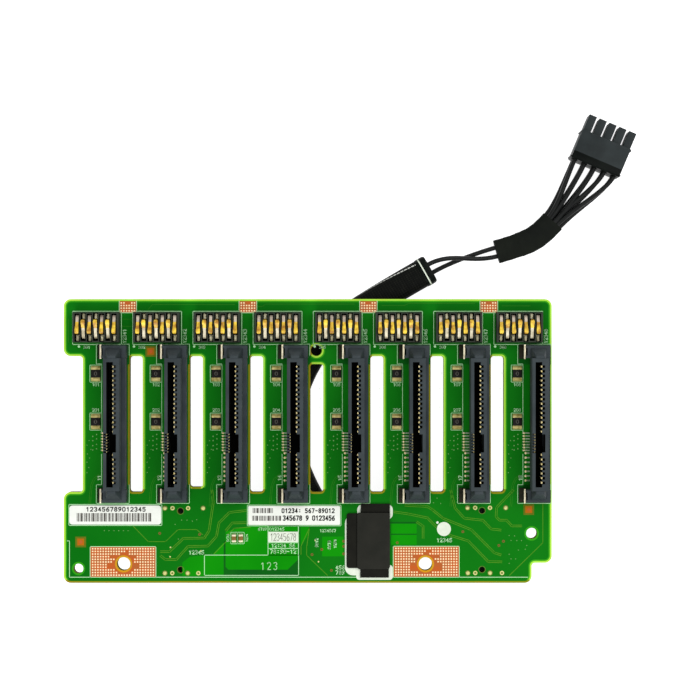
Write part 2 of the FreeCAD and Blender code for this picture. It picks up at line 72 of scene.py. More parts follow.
def fill(tree, node, values):
    # sockets take a plain value or a link
    for key, value in values.items():
        if isinstance(value, bpy.types.NodeSocket):
            tree.links.new(value, node.inputs[key])
        else:
            node.inputs[key].default_value = value
    return node


def addNode(tree, kind, values=None, **settings):
    made = tree.nodes.new("ShaderNode" + kind)
    for key, value in settings.items():
        setattr(made, key, value)
    return fill(tree, made, values or {})


def sums(tree, operation, *terms):
    return addNode(tree, "Math", dict(enumerate(terms)), operation=operation).outputs[0]


def noiseFactor(tree, place, scale, detail):
    return addNode(tree, "TexNoise", {"Scale": scale, "Detail": detail, "Vector": place}).outputs["Fac"]


def rampColour(tree, share, *steps):
    ramp = addNode(tree, "ValToRGB", {"Fac": share})
    for element, (position, colour) in zip(ramp.color_ramp.elements, steps):
        element.position = position
        element.color = linear(*colour)
    return ramp.outputs["Color"]


def bumpNormal(tree, height, strength, depth):
    values = {"Strength": strength, "Distance": depth * mm, "Height": height}
    return addNode(tree, "Bump", values).outputs["Normal"]


def blankMaterial(name):
    made = bpy.data.materials.new(name)
    made.use_nodes = True
    return made, made.node_tree


usual = {"detail": 4, "low": 0.35, "high": 0.65, "metal": 0.0, "bumpDepth": 0.05, "grainDetail": 3,
         "roughSpread": 0.06, "roughLimits": (0.02, 1.0)}


def newMaterial(name, first, second, scale, rough, specular, bump=0, grain=0, rest=None):
    # one Principled shader; noise on object coordinates varies colour, roughness and bump
    look = {**usual, **(rest or {})}
    made, tree = blankMaterial(name)
    place = addNode(tree, "TexCoord").outputs["Object"]
    noise = noiseFactor(tree, place, scale, look["detail"])
    least, most = look["roughLimits"]
    spread = addNode(tree, "MapRange", {"To Min": max(rough - look["roughSpread"], least),
                                        "To Max": min(rough + look["roughSpread"], most), "Value": noise})
    values = {"Metallic": look["metal"], "Specular IOR Level": specular,
              "Roughness": spread.outputs["Result"],
              "Base Color": rampColour(tree, noise, (look["low"], first), (look["high"], second))}
    if bump:
        grains = noiseFactor(tree, place, grain, look["grainDetail"])
        values["Normal"] = bumpNormal(tree, grains, bump, look["bumpDepth"])
    fill(tree, tree.nodes["Principled BSDF"], values)
    return made


# Each finish: two colours, noise scale, roughness, specular, strength and grain of its bump, and the rest.
finishes = {
    "boardGreen": ((3, 103, 10), (11, 114, 14), 45, 0.5, 0.04, 0.2, 900, dict(detail=2, low=0.3, high=0.7)),
    "boardPour": ((5, 131, 1), (13, 141, 3), 60, 0.5, 0.04, 0.2, 900, dict(detail=2)),
    "boardShade": ((6, 84, 18), (10, 94, 16), 90, 0.5, 0.04, 0.2, 900, dict(detail=2)),
    "rimLime": ((164, 224, 74), (172, 214, 66), 160, 0.6, 0.04, 0.3, 2500),
    "rimFade": ((56, 158, 24), (44, 148, 18), 160, 0.6, 0.04),
    "rimOlive": ((128, 136, 22), (146, 130, 26), 160, 0.6, 0.04, 0.3, 2500),
    "boardEdge": ((120, 112, 28), (100, 104, 26), 500, 0.8, 0.15, 0.7, 3000),
    "silkWhite": ((172, 224, 168), (190, 232, 184), 2500, 0.8, 0.04),
    "silkPatch": ((222, 230, 214), (210, 220, 202), 600, 0.8, 0.1),
    "traceGreen": ((94, 146, 36), (78, 140, 32), 500, 0.5, 0.04),
    "traceShade": ((44, 124, 28), (52, 128, 30), 500, 0.5, 0.04),
    "padCopper": ((188, 86, 28), (170, 92, 44), 500, 0.5, 0.1, 0.2, 3000),
    "padBrown": ((92, 102, 18), (106, 108, 24), 900, 0.5, 0.05),
    "padCentre": ((176, 96, 12), (164, 98, 18), 900, 0.5, 0.05),
    "padPaste": ((252, 230, 190), (244, 214, 162), 2600, 0.5, 0.2, 0.5, 6000),
    "ringGold": ((204, 140, 14), (190, 150, 32), 900, 0.45, 0.1, 0, 0, dict(metal=0.15)),
    "viaPale": ((104, 158, 82), (124, 172, 100), 2000, 0.5, 0.35),
    "viaOlive": ((84, 110, 26), (108, 122, 38), 2000, 0.5, 0.35),
    "viaRust": ((128, 72, 20), (112, 80, 22), 2000, 0.5, 0.35),
    # near black, painted shade in the connectors' cavities and slots, on their floors and along the tape's
    # creases
    "paintedShadeBlack": ((5, 5, 4), (5, 5, 4), 300, 0.9, 0.05),
    "connectorGrey": ((48, 55, 58), (58, 65, 68), 160, 0.55, 0.12, 0.5, 2600, dict(detail=6, bumpDepth=0.04)),
    # a second copy of the housing grey for the drive flange, set as painted shade
    "connectorShade": ((49, 56, 59), (60, 67, 70), 160, 0.6, 0.1, 0.4, 2600, dict(detail=6, bumpDepth=0.04)),
    "springBlack": ((42, 47, 40), (53, 58, 50), 260, 0.55, 0.1, 0.5, 2600, dict(detail=5, bumpDepth=0.04)),
    "contactGold": ((248, 228, 150), (255, 240, 190), 1800, 0.38, 0.35, 0, 0, dict(metal=0.05)),
    "springGold": ((168, 114, 12), (252, 216, 58), 620, 0.35, 0.6, 0, 0, dict(metal=0.1)),
    # lit and shaded copies of the stems' tin, painted light and painted shade
    "stemLit": ((176, 164, 130), (236, 228, 198), 620, 0.38, 0.5, 0, 0, dict(metal=0.05)),
    "stemShaded": ((150, 136, 120), (206, 192, 172), 620, 0.4, 0.4, 0, 0, dict(metal=0.05)),
    "tinBright": ((240, 230, 200), (214, 202, 170), 1600, 0.35, 0.35, 0.3, 3000, dict(metal=0.4)),
    # tin in painted shade: the hold-downs' feet and the spring leaves' low parts
    "tinShade": ((44, 41, 28), (30, 32, 22), 1200, 0.6, 0.1),
    "solderTail": ((176, 168, 130), (232, 226, 190), 900, 0.4, 0.35, 0, 0, dict(metal=0.05)),
    "solderPale": ((150, 170, 140), (112, 132, 104), 2600, 0.5, 0.2),
    "solderCream": ((196, 196, 112), (214, 210, 146), 1500, 0.45, 0.35, 0, 0, dict(metal=0.1)),
    "chipBlack": ((13, 12, 10), (22, 20, 17), 1500, 0.5, 0.15, 0.3, 4000),
    "chipBrown": ((136, 104, 54), (118, 92, 48), 1800, 0.6, 0.1),
    "chipEnd": ((150, 138, 66), (214, 198, 130), 900, 0.42, 0.35, 0.5, 2600, dict(metal=0.1)),
    "printGrey": ((118, 114, 106), (98, 94, 88), 2000, 0.7, 0.1),
    "inkBlack": ((24, 23, 22), (40, 38, 36), 3000, 0.8, 0.05),
    "barGrey": ((78, 76, 72), (98, 95, 90), 3000, 0.8, 0.05),
    "labelPaper": ((234, 237, 229), (228, 231, 223), 400, 0.7, 0.15, 0.2, 3000),
    "tapeBlack": ((29, 30, 25), (36, 36, 31), 220, 0.6, 0.1, 0.35, 1500, dict(detail=5, bumpDepth=0.06)),
    "tapeShade": ((20, 20, 16), (27, 27, 22), 220, 0.6, 0.06, 0.35, 1500, dict(detail=5, bumpDepth=0.06)),
    "shellSteel": ((176, 178, 176), (196, 197, 193), 500, 0.32, 0.35, 0.2, 2500, dict(metal=1.0)),
    "plugBlack": ((34, 39, 40), (42, 48, 49), 200, 0.5, 0.12, 0.4, 2600, dict(detail=5, bumpDepth=0.04)),
    "wireBlack": ((10, 12, 12), (17, 19, 18), 300, 0.42, 0.2, 0.15, 1800),
    "cuffBlack": ((5, 8, 7), (11, 16, 13), 260, 0.4, 0.06, 0.25, 1600),
    "wrapBlack": ((9, 13, 9), (16, 20, 14), 200, 0.65, 0.1, 0.8, 900, dict(detail=6, bumpDepth=0.15)),
}
materials = {name: newMaterial(name, *look) for name, look in finishes.items()}
print("materials:", len(materials))


# Mesh helpers.

def linked(name, data):
    piece = bpy.data.objects.new(name, data)
    bpy.context.scene.collection.objects.link(piece)
    return piece


def settle(piece, replaced=None, smooth=None):
    if smooth:
        shadeSmooth(piece, smooth)
    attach(piece, "root")
    if replaced:
        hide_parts(replaced)
    return piece


def plainMesh(name, mesh, *mats):
    made = bpy.data.meshes.new(name)
    mesh.to_mesh(made)
    mesh.free()
    for mat in mats:
        made.materials.append(materials[mat])
    return made


def finish(name, mesh, slotName, *mats, replaced=None, smooth=None):
    return settle(linked(name, plainMesh(name, mesh, *mats)), replaced, smooth)


def shadeSmooth(piece, angle):
    # faces that meet flatter than the angle blend; the sharper edges stay crisp
    for face in piece.data.polygons:
        face.use_smooth = True
    work = bmesh.new()
    work.from_mesh(piece.data)
    for edge in work.edges:
        edge.smooth = len(edge.link_faces) != 2 or edge.calc_face_angle(0) < math.radians(angle)
    work.to_mesh(piece.data)
    work.free()


def at(x, y):
    return x * mm, y * mm


def span(ends):
    low, high = sorted(ends)
    return low * mm, high * mm


def levels(zRange):
    return [boardTop + z * mm for z in zRange]


def paintFaces(verts, matIndex):
    for face in {f for v in verts for f in v.link_faces}:
        face.material_index = matIndex


def addBlock(mesh, xRange, yRange, zRange, matIndex=0):
    # a closed box
    ranges = (span(xRange), span(yRange), levels(zRange))
    size = [high - low for low, high in ranges]
    middle = [(high + low) / 2 for low, high in ranges]
    place = Matrix.Translation(middle) @ Matrix.Diagonal((*size, 1))
    made = bmesh.ops.create_cube(mesh, size=1, matrix=place)
    paintFaces(made["verts"], matIndex)
    return made["verts"]


def addStrip(mesh, start, end, width, zRange, matIndex=0, past=0.0):
    # a straight flat bar between two points of the board's plan
    a, b = Vector(at(*start)), Vector(at(*end))
    run = b - a
    low, high = levels(zRange)
    turn = Matrix.Rotation(math.atan2(run.y, run.x), 4, "Z")
    size = (run.length + 2 * past * mm, width * mm, high - low, 1)
    place = Matrix.Translation((*((a + b) / 2), (low + high) / 2))
    made = bmesh.ops.create_cube(mesh, size=1, matrix=place @ turn @ Matrix.Diagonal(size))
    paintFaces(made["verts"], matIndex)


def addFrame(mesh, xRange, yRange, width, zRange, sides="lrtb"):
    (left, right), (low, high) = sorted(xRange), sorted(yRange)
    runs = {"l": ((left, low), (left, high)), "r": ((right, low), (right, high)),
            "t": ((left, high), (right, high)), "b": ((left, low), (right, low))}
    for side in sides:
        addStrip(mesh, *runs[side], width, zRange, past=width / 2)


def addDisc(mesh, middle, radius, zRange, matIndex=0, segments=16):
    low, high = levels(zRange)
    made = bmesh.ops.create_cone(mesh, cap_ends=True, segments=segments, radius1=radius * mm,
                                 radius2=radius * mm, depth=high - low,
                                 matrix=Matrix.Translation((*at(*middle), (low + high) / 2)))
    paintFaces(made["verts"], matIndex)


def addDome(mesh, middle, radius, height, matIndex=0, segments=16):
    # a flattened half ball standing on the board
    place = Matrix.Translation((*at(*middle), boardTop)) @ Matrix.Diagonal((1, 1, height / radius, 1))
    made = bmesh.ops.create_uvsphere(mesh, u_segments=segments, v_segments=8, radius=radius * mm,
                                     matrix=place)
    under = [v for v in made["verts"] if v.co.z < boardTop - tiny]
    bmesh.ops.delete(mesh, geom=under, context="VERTS")
    rim = [e for e in mesh.edges if e.is_boundary and abs(e.verts[0].co.z - boardTop) < tiny
           and (e.verts[0].co.xy - Vector(at(*middle))).length < radius * mm * 1.2]
    bmesh.ops.contextual_create(mesh, geom=rim)
    paintFaces([v for e in rim for v in e.verts], matIndex)


def addRing(mesh, middle, inner, outer, zRange, matIndex=0, segments=32):
    # a flat washer: two circles filled between, then given its thickness
    low, high = levels(zRange)
    edges = []
    for radius in (inner, outer):
        made = bmesh.ops.create_circle(mesh, segments=segments, radius=radius * mm,
                                       matrix=Matrix.Translation((*at(*middle), low)))
        edges += list({e for v in made["verts"] for e in v.link_edges})
    raiseFaces(mesh, bmesh.ops.bridge_loops(mesh, edges=edges)["faces"], high - low, matIndex)


def raiseFaces(mesh, faces, height, matIndex):
    # flat faces become a closed slab standing on their old place
    made = bmesh.ops.extrude_face_region(mesh, geom=faces, use_keep_orig=True)
    top = [g for g in made["geom"] if isinstance(g, bmesh.types.BMVert)]
    bmesh.ops.translate(mesh, vec=(0, 0, height), verts=top)
    for face in {f for v in top for f in v.link_faces} | set(faces):
        face.material_index = matIndex


def addSlab(mesh, outlines, zRange, matIndex=0):
    # a plate of any outline; further outlines are holes in it
    low, high = levels(zRange)
    edges = []
    for outline in outlines:
        verts = [mesh.verts.new((*at(x, y), low)) for x, y in outline]
        edges += [mesh.edges.new((a, b)) for a, b in zip(verts, verts[1:] + verts[:1])]
    filled = bmesh.ops.triangle_fill(mesh, edges=edges, use_beauty=True, use_dissolve=False)
    raiseFaces(mesh, [g for g in filled["geom"] if isinstance(g, bmesh.types.BMFace)], high - low, matIndex)


def corners(xRange, yRange):
    return [(xRange[0], yRange[0]), (xRange[1], yRange[0]), (xRange[1], yRange[1]), (xRange[0], yRange[1])]


def roundedOutline(xRange, yRange, radius, steps=5):
    (left, right), (low, high) = ((ends[0] + radius, ends[1] - radius) for ends in (xRange, yRange))
    points = []
    for x, y, start in ((right, high, 0), (left, high, 90), (left, low, 180), (right, low, 270)):
        for i in range(steps + 1):
            angle = math.radians(start + 90 * i / steps)
            points.append((x + radius * math.cos(angle), y + radius * math.sin(angle)))
    return points


def softenEdges(mesh, width, angle=30, segments=2, only=None):
    sharp = [e for e in mesh.edges if len(e.link_faces) == 2 and e.calc_face_angle(0) > math.radians(angle)
             and (only is None or only(e))]
    bmesh.ops.bevel(mesh, geom=sharp, offset=width * mm, offset_type="OFFSET", affect="EDGES",
                    segments=segments, profile=0.5, material=-1, clamp_overlap=True)


def outward(mesh):
    bmesh.ops.remove_doubles(mesh, verts=mesh.verts, dist=1e-7)
    bmesh.ops.recalc_face_normals(mesh, faces=mesh.faces)


def dissolveFlats(mesh, angle=0.01):
    # triangles that lie flat together become whole faces again
    bmesh.ops.dissolve_limit(mesh, angle_limit=angle, verts=mesh.verts, edges=mesh.edges)


def joinInto(mesh, part):
    carried = plainMesh("carried", part)
    mesh.from_mesh(carried)
    bpy.data.meshes.remove(carried)


def nodeMesh(name):
    # a merged copy of a CAD node's mesh
    mesh = bmesh.new()
    mesh.from_mesh(nodes[name].data)
    bmesh.ops.remove_doubles(mesh, verts=mesh.verts, dist=tiny)
    dissolveFlats(mesh, math.radians(1))
    return mesh


def refined(name, slotName, mat, bevel, segments=2):
    # the CAD shape with softened edges and its finish
    mesh = nodeMesh(name)
    softenEdges(mesh, bevel, segments=segments)
    return finish(name + "_look", mesh, slotName, mat, replaced=name, smooth=35)


# Camera, floor and light. Lamps stand at places in metres.

view = {"x": 11.76, "y": 25.32, "height": 450.0, "field": 194.8, "sensor": 36}
camera = linked("camera", bpy.data.cameras.new("camera"))
camera.data.sensor_width = view["sensor"]
camera.data.lens = view["sensor"] * view["height"] / view["field"]
camera.data.clip_start = 0.01
camera.location = (*at(view["x"], view["y"]), boardTop + view["height"] * mm)
bpy.context.scene.camera = camera
bpy.context.scene.view_settings.view_transform = "Standard"

light = {
    "world": 0.74,
    "seen": 0.93,          # how white the floor shows before any light falls on it
    "floorColour": 0.5,
    "floorSize": 3.0,      # metres
    "lamps": {"keyLamp": ((-0.15, -0.75, 0.75), 0.7, 4.8), "fillLamp": ((0.6, 0.35, 0.9), 0.8, 4.8)},
}
floorMesh = bmesh.new()
bmesh.ops.create_grid(floorMesh, x_segments=1, y_segments=1, size=light["floorSize"])
floor = linked("floor", plainMesh("floor", floorMesh))
floor.location.z = cadBox[0][2]
floorPaint, tree = blankMaterial("floorPaint")
tree.nodes.clear()
rays = addNode(tree, "LightPath").outputs
seen = sums(tree, "MAXIMUM", rays["Is Camera Ray"], rays["Is Glossy Ray"])
seen = sums(tree, "MAXIMUM", seen, rays["Is Transmission Ray"])
glow = addNode(tree, "Emission", {"Strength": sums(tree, "MULTIPLY", seen, light["seen"])})
matte = addNode(tree, "BsdfDiffuse", {"Color": (light["floorColour"],) * 3 + (1,)})
both = addNode(tree, "AddShader", {0: glow.outputs[0], 1: matte.outputs[0]})
addNode(tree, "OutputMaterial", {"Surface": both.outputs[0]})
floor.data.materials.append(floorPaint)

world = bpy.context.scene.world or bpy.data.worlds.new("world")
bpy.context.scene.world = world
world.use_nodes = True
sky = world.node_tree.nodes["Background"]
fill(world.node_tree, sky, {"Color": (1, 1, 1, 1), "Strength": light["world"]})

for name, (place, size, power) in light["lamps"].items():
    lamp = bpy.data.lights.new(name, "AREA")
    lamp.size = size
    lamp.energy = power
    holder = linked(name, lamp)
    holder.location = place
    holder.rotation_euler = (-Vector(place)).to_track_quat("-Z", "Y").to_euler()
print("camera, floor and lamps set")


# Cable. Heights here count from the floor that the parts behind the board stand on.

sleeve = {
    "route": [(0.6, -16.7), (-3.9, -8.6), (-6.0, 4.0), (-3.1, 17.5), (4.6, 29.6), (17.2, 38.4),
              (31.56, 46.64)],
    "width": 8.0, "thickness": 6.7, "length": 81.5, "steps": 150,
    "around": 40, "braidPitch": 1.5, "braidStrands": 20, "braidDepth": 0.15,
    "tracerTurn": 0.125, "tracerDrift": 0.0036, "tracerHalf": 0.0065, "tracerDash": 1.1, "tracerCut": -0.8,
    "tracerColour": (205, 208, 200), "strandSteps": ((0.25, (4, 6, 4)), (1.0, (34, 35, 28))),
    "braidNoise": (620, 4), "specular": 0.08, "rough": 0.6, "bump": 0.7,
}
cuff = {"width": 8.3, "length": 3.2, "thickness": 6.7, "thread": (1.05, 1.4), "threadRise": 0.06,
        "lip": 0.07, "lipFrom": 0.7, "overlap": 0.02, "steps": 9}
wrap = {
    "route": [(53.2, 53.07), (60.4, 55.1), (65.9, 58.1), (69.1, 61.7)],
    "width": 7.0, "thickness": 3.2, "secondLayer": 0.36, "layerStep": 0.22, "inset": 0.3, "wound": 0.05,
    "windings": 40, "steps": 60, "around": 32,
}
wires = {
    "diameter": 1.3, "plugHeading": 67.0, "plugMiddle": (82.04, 80.4), "plugLength": 8.5, "plugShade": 2.2,
    "plugSoften": 0.22,
    "leadStart": (8.7, -21.8), "leadHeights": (2.0, 5.0),
    "linkSpread": 1.25, "linkHeights": (5.3, 1.7), "linkRuns": (4.5, -4.0),
    "fanPitch": 3.0, "fanStart": (-0.4, 3.0), "fanEnd": (-2.6, 0.3),
    # each row's height at the plug and in the wrap, its spacing there, and how far it is shuffled sideways
    "rows": [(2.0, 1.1, 1.3, (0, 0, 0, 0, 0)), (4.9, 2.4, 1.15, (0.7, 0.8, -0.7, -0.2, -0.6))],
}


def splines(name, routes, **settings):
    # smooth lines through the given control points, as one curve object
    data = bpy.data.curves.new(name, "CURVE")
    data.dimensions = "3D"
    data.resolution_u = 12
    for key, value in settings.items():
        setattr(data, key, value)
    for route in routes:
        spline = data.splines.new("NURBS")
        spline.points.add(len(route) - 1)
        for target, point in zip(spline.points, route):
            target.co = (*point, 1.0)
        spline.order_u = 3
        spline.use_endpoint_u = True
    return linked(name, data)


def lengthsAlong(points):
    lengths = [0.0]
    for a, b in zip(points, points[1:]):
        lengths.append(lengths[-1] + (b - a).length)
    return lengths


def splineLine(points, count):
    # evenly spaced points of the smooth line of the given control points
    holder = splines("line", [points])
    bpy.context.view_layer.update()
    line = bpy.data.meshes.new_from_object(holder.evaluated_get(bpy.context.evaluated_depsgraph_get()))
    found = [v.co.copy() for v in line.vertices]
    bpy.data.objects.remove(holder)
    return evenLine(found, count)


def evenLine(points, count):
    # the same line with evenly spaced points
    lengths = lengthsAlong(points)
    spaced, i = [], 0
    for step in range(count):
        want = lengths[-1] * step / (count - 1)
        while i < len(points) - 2 and lengths[i + 1] < want:
            i += 1
        share = (want - lengths[i]) / (lengths[i + 1] - lengths[i])
        spaced.append(points[i].lerp(points[i + 1], min(max(share, 0), 1)))
    return spaced


def headings(line):
    last = len(line) - 1
    return [(line[min(i + 1, last)] - line[max(i - 1, 0)]).normalized() for i in range(len(line))]


def sideways(way):
    return Vector((-way.y, way.x, 0)).normalized()


def flatTube(mesh, line, sizeAt, around, matIndex=0, squareness=0.62):
    # a flattened tube on a line; sizeAt gives width and thickness at each share of its length
    rings = []
    for i, (point, way) in enumerate(zip(line, headings(line))):
        width, thickness = sizeAt(i / (len(line) - 1))
        made = bmesh.ops.create_circle(mesh, segments=around, radius=1.0, cap_ends=False)
        aside = sideways(way)
        for v in made["verts"]:
            c, s = v.co.x, v.co.y
            across = math.copysign(abs(c) ** squareness, c) * width * mm / 2
            rise = math.copysign(abs(s) ** squareness, s) * thickness * mm / 2
            v.co = point + aside * across + Vector((0, 0, rise))
        rings.append(list({e for v in made["verts"] for e in v.link_edges}))
    faces = []
    for low, high in zip(rings, rings[1:]):
        faces += bmesh.ops.bridge_loops(mesh, edges=low + high)["faces"]
    for ring in (rings[0], rings[-1]):
        faces += bmesh.ops.contextual_create(mesh, geom=ring)["faces"]
    for face in faces:
        face.material_index = matIndex
    outward(mesh)


def tubeMap(piece, line):
    # UV: along the line in millimetres, and the share of the way round
    lengths, ways = lengthsAlong(line), headings(line)
    uvLayer = piece.data.uv_layers.new(name="along")
    for face in piece.data.polygons:
        spots = []
        for loop in face.loop_indices:
            co = piece.data.vertices[piece.data.loops[loop].vertex_index].co
            nearest = min(range(len(line)), key=lambda i: (line[i].xy - co.xy).length_squared)
            way = ways[nearest]
            off = co - line[nearest]
            turn = math.atan2(off.z, off.dot(sideways(way))) / (2 * math.pi)
            spots.append([loop, (lengths[nearest] + off.dot(way)) / mm, turn])
        if max(s[2] for s in spots) - min(s[2] for s in spots) > 0.5:
            for s in spots:
                s[2] += 1.0 if s[2] < 0 else 0.0
        for loop, along, turn in spots:
            uvLayer.data[loop].uv = (along, turn)


def braidMaterial():
    # two sets of crossing diagonal strands, their grooves painted darker as painted shade, and a fine white
    # tracer that drifts towards one edge
    made, tree = blankMaterial("braidBlack")
    uv = addNode(tree, "UVMap", uv_map="along").outputs[0]
    parts = addNode(tree, "SeparateXYZ", {0: uv}).outputs
    along, turn = parts["X"], parts["Y"]
    runs = sums(tree, "MULTIPLY", along, 2 * math.pi / sleeve["braidPitch"])
    around = sums(tree, "MULTIPLY", turn, 2 * math.pi * sleeve["braidStrands"])
    rise = sums(tree, "SINE", sums(tree, "ADD", runs, around))
    fall = sums(tree, "SINE", sums(tree, "SUBTRACT", runs, around))
    height = sums(tree, "ADD", sums(tree, "MULTIPLY", sums(tree, "MULTIPLY", rise, fall), 0.5), 0.5)
    blotches = noiseFactor(tree, addNode(tree, "TexCoord").outputs["Object"], *sleeve["braidNoise"])
    # painted shade: low braid height maps to near black
    strands = rampColour(tree, sums(tree, "MULTIPLY", height, blotches), *sleeve["strandSteps"])
    wave = sums(tree, "SINE", sums(tree, "MULTIPLY", along, 2 * math.pi / sleeve["tracerDash"]))
    drift = sums(tree, "MULTIPLY", sums(tree, "SUBTRACT", sleeve["length"], along), sleeve["tracerDrift"])
    path = sums(tree, "SUBTRACT", sleeve["tracerTurn"], drift)
    off = sums(tree, "ABSOLUTE", sums(tree, "SUBTRACT", turn, path))
    tracer = sums(tree, "MULTIPLY", sums(tree, "GREATER_THAN", wave, sleeve["tracerCut"]),
                  sums(tree, "LESS_THAN", off, sleeve["tracerHalf"]))
    mix = addNode(tree, "Mix", {"B": linear(*sleeve["tracerColour"]), "Factor": tracer, "A": strands},
                  data_type="RGBA")
    fill(tree, tree.nodes["Principled BSDF"], {
        "Specular IOR Level": sleeve["specular"], "Roughness": sleeve["rough"],
        "Base Color": mix.outputs["Result"],
        "Normal": bumpNormal(tree, height, sleeve["bump"], sleeve["braidDepth"])})
    return made


materials["braidBlack"] = braidMaterial()


def planPoints(route, height):
    return [Vector((*at(x, y), height * mm)) for x, y in route]


def makeSleeve():
    line = splineLine(planPoints(sleeve["route"], sleeve["thickness"] / 2), sleeve["steps"])
    mesh = bmesh.new()
    flatTube(mesh, line, lambda share: (sleeve["width"], sleeve["thickness"]), sleeve["around"])
    piece = finish("cable_sleeve_look", mesh, "sleeve_braid", "braidBlack", replaced="cable_sleeve",
                   smooth=60)
    tubeMap(piece, line)
    return piece, line


def makeCuff():
    # a smooth shrink cuff over the sleeve's end, rounded at both rims, with a white thread across it
    start, way = Vector(sleeve["route"][-1]), heading(*sleeve["route"][-2:])
    mesh = bmesh.new()

    def run(steps, *shares):
        return evenLine(planPoints([start + way * s for s in shares], cuff["thickness"] / 2), steps)

    def sizeAt(share):
        lip = 1 - cuff["lip"] * max(0.0, abs(2 * share - 1) - cuff["lipFrom"]) / (1 - cuff["lipFrom"])
        return cuff["width"] * lip, cuff["thickness"] * lip

    body = run(cuff["steps"], -cuff["overlap"] * cuff["length"], cuff["length"])
    flatTube(mesh, body, sizeAt, sleeve["around"])
    thread = [cuff[n] + cuff["threadRise"] for n in ("width", "thickness")]
    flatTube(mesh, run(3, *cuff["thread"]), lambda share: thread, sleeve["around"], 1)
    return finish("sleeve_cuff_look", mesh, "cuff_black", "cuffBlack", "silkPatch", replaced="sleeve_cuff",
                  smooth=50)


def makeWrap():
    # wound tape; the second layer starts part of the way along
    line = splineLine(planPoints(wrap["route"], wrap["thickness"] / 2), wrap["steps"])
    mesh = bmesh.new()

    def sizeAt(share):
        step = wrap["layerStep"] if share > wrap["secondLayer"] else 0.0
        more = step + wrap["wound"] * math.sin(share * wrap["windings"]) - wrap["inset"]
        return wrap["width"] + more, wrap["thickness"] + more

    flatTube(mesh, line, sizeAt, wrap["around"])
    return finish("splice_wrap_look", mesh, "tape_black", "wrapBlack", replaced="splice_wrap", smooth=50)


def heading(a, b):
    return (Vector(b) - Vector(a)).normalized()


def facePoint(middle, way, across, height, ahead=0.0):
    spot = Vector(middle) + Vector((-way.y, way.x)) * across + way * ahead
    return Vector((*at(*spot), height * mm))


def wireCurves(node, routes):
    piece = splines(node + "_look", routes, bevel_depth=wires["diameter"] / 2 * mm, bevel_resolution=4,
                    use_fill_caps=True)
    piece.data.materials.append(materials["wireBlack"])
    return settle(piece, node)


def plugAxis():
    turn = math.radians(wires["plugHeading"])
    return Vector((math.cos(turn), math.sin(turn)))


def makeWires():
    begin, beginWay = Vector(sleeve["route"][0]), heading(*sleeve["route"][:2])
    cuffWay = heading(*sleeve["route"][-2:])
    cuffEnd = Vector(sleeve["route"][-1]) + cuffWay * cuff["length"]
    wrapStart, wrapWay = wrap["route"][0], heading(*wrap["route"][:2])
    wrapEnd, endWay = wrap["route"][-1], heading(*wrap["route"][-2:])
    plugRear = Vector(wires["plugMiddle"]) - plugAxis() * wires["plugLength"] / 2
    middle = wrap["thickness"] / 2
    leadX, leadY = wires["leadStart"]
    back = (begin.y - leadY) / beginWay.y
    leads = [[Vector((*at(leadX, leadY), z * mm)), facePoint(begin, beginWay, 0, z, -back),
              facePoint(begin, beginWay, 0, z)] for z in wires["leadHeights"]]
    links = []
    for side, z in zip((1, -1), wires["linkHeights"]):
        across, (ahead, behind) = side * wires["linkSpread"], wires["linkRuns"]
        links.append([facePoint(cuffEnd, cuffWay, across, z), facePoint(cuffEnd, cuffWay, across, z, ahead),
                      facePoint(wrapStart, wrapWay, -across, middle, behind),
                      facePoint(wrapStart, wrapWay, -across, middle)])
    fans = []
    for plugZ, wrapZ, spacing, shuffle in wires["rows"]:
        for i, shift in enumerate(shuffle):
            y, across = (i - 2) * wires["fanPitch"], (i - 2) * spacing + shift
            fans.append([facePoint(wrapEnd, endWay, across, wrapZ, run) for run in wires["fanStart"]]
                        + [facePoint(plugRear, plugAxis(), y, plugZ, run) for run in wires["fanEnd"]])
    return [wireCurves(*pair) for pair in (("lead_wires", leads), ("link_wires", links), ("fan_wires", fans))]


def makeCablePlug():
    # painted shade: darker towards its back, where the wires go in
    axis = plugAxis().to_3d()
    back = Vector((*wires["plugMiddle"], 0)) * mm - axis * (wires["plugLength"] / 2 - wires["plugShade"]) * mm
    mesh = nodeMesh("cable_plug")
    softenEdges(mesh, wires["plugSoften"])
    bmesh.ops.bisect_plane(mesh, geom=mesh.verts[:] + mesh.edges[:] + mesh.faces[:], dist=1e-7, plane_co=back,
                           plane_no=axis)
    for face in mesh.faces:
        if (face.calc_center_median() - back).dot(axis) < 0:
            face.material_index = 1
    return finish("cable_plug_look", mesh, "plug_black", "plugBlack", "cuffBlack", replaced="cable_plug",
                  smooth=35)


sleevePiece, sleeveLine = makeSleeve()
cuffPiece = makeCuff()
wrapPiece = makeWrap()
linkPiece, fanPiece = makeWires()[1:]
cablePlug = makeCablePlug()
plugSockets = refined("cable_plug_terminals", "tinned_metal", "tinBright", 0.05, segments=1)
print("cable made")


# Circuit board: its plate with bright cut edges, then the flat marks on it.

board = {
    "rims": (0.5, 0.38),       # widths of the bare strip and of its faded inner border at cut edges
    "skin": 0.012, "trace": 0.02, "pad": 0.03, "paste": 0.06, "silk": 0.035,
    "sink": 0.03,              # how deep flat marks are set into the board
    "bayPitch": 16.75, "firstBay": -58.83, "driveMiddle": 4.9,
    "guides": [(62.3, -25.7), (-63.8, -35.5)], "holeReach": 2.2, "foot": -38.6, "outline": (66.6, 38.3),
    "sideNotch": (-61, -15.5, 24.8), "cornerNotch": (61, -32.6),
    "firstSlot": -47.73, "slotLeft": -1.5, "slotFoot": -13,
}


def layer(name):
    return -board["sink"], board[name]


def bayX(bay):
    return board["firstBay"] + bay * board["bayPitch"]


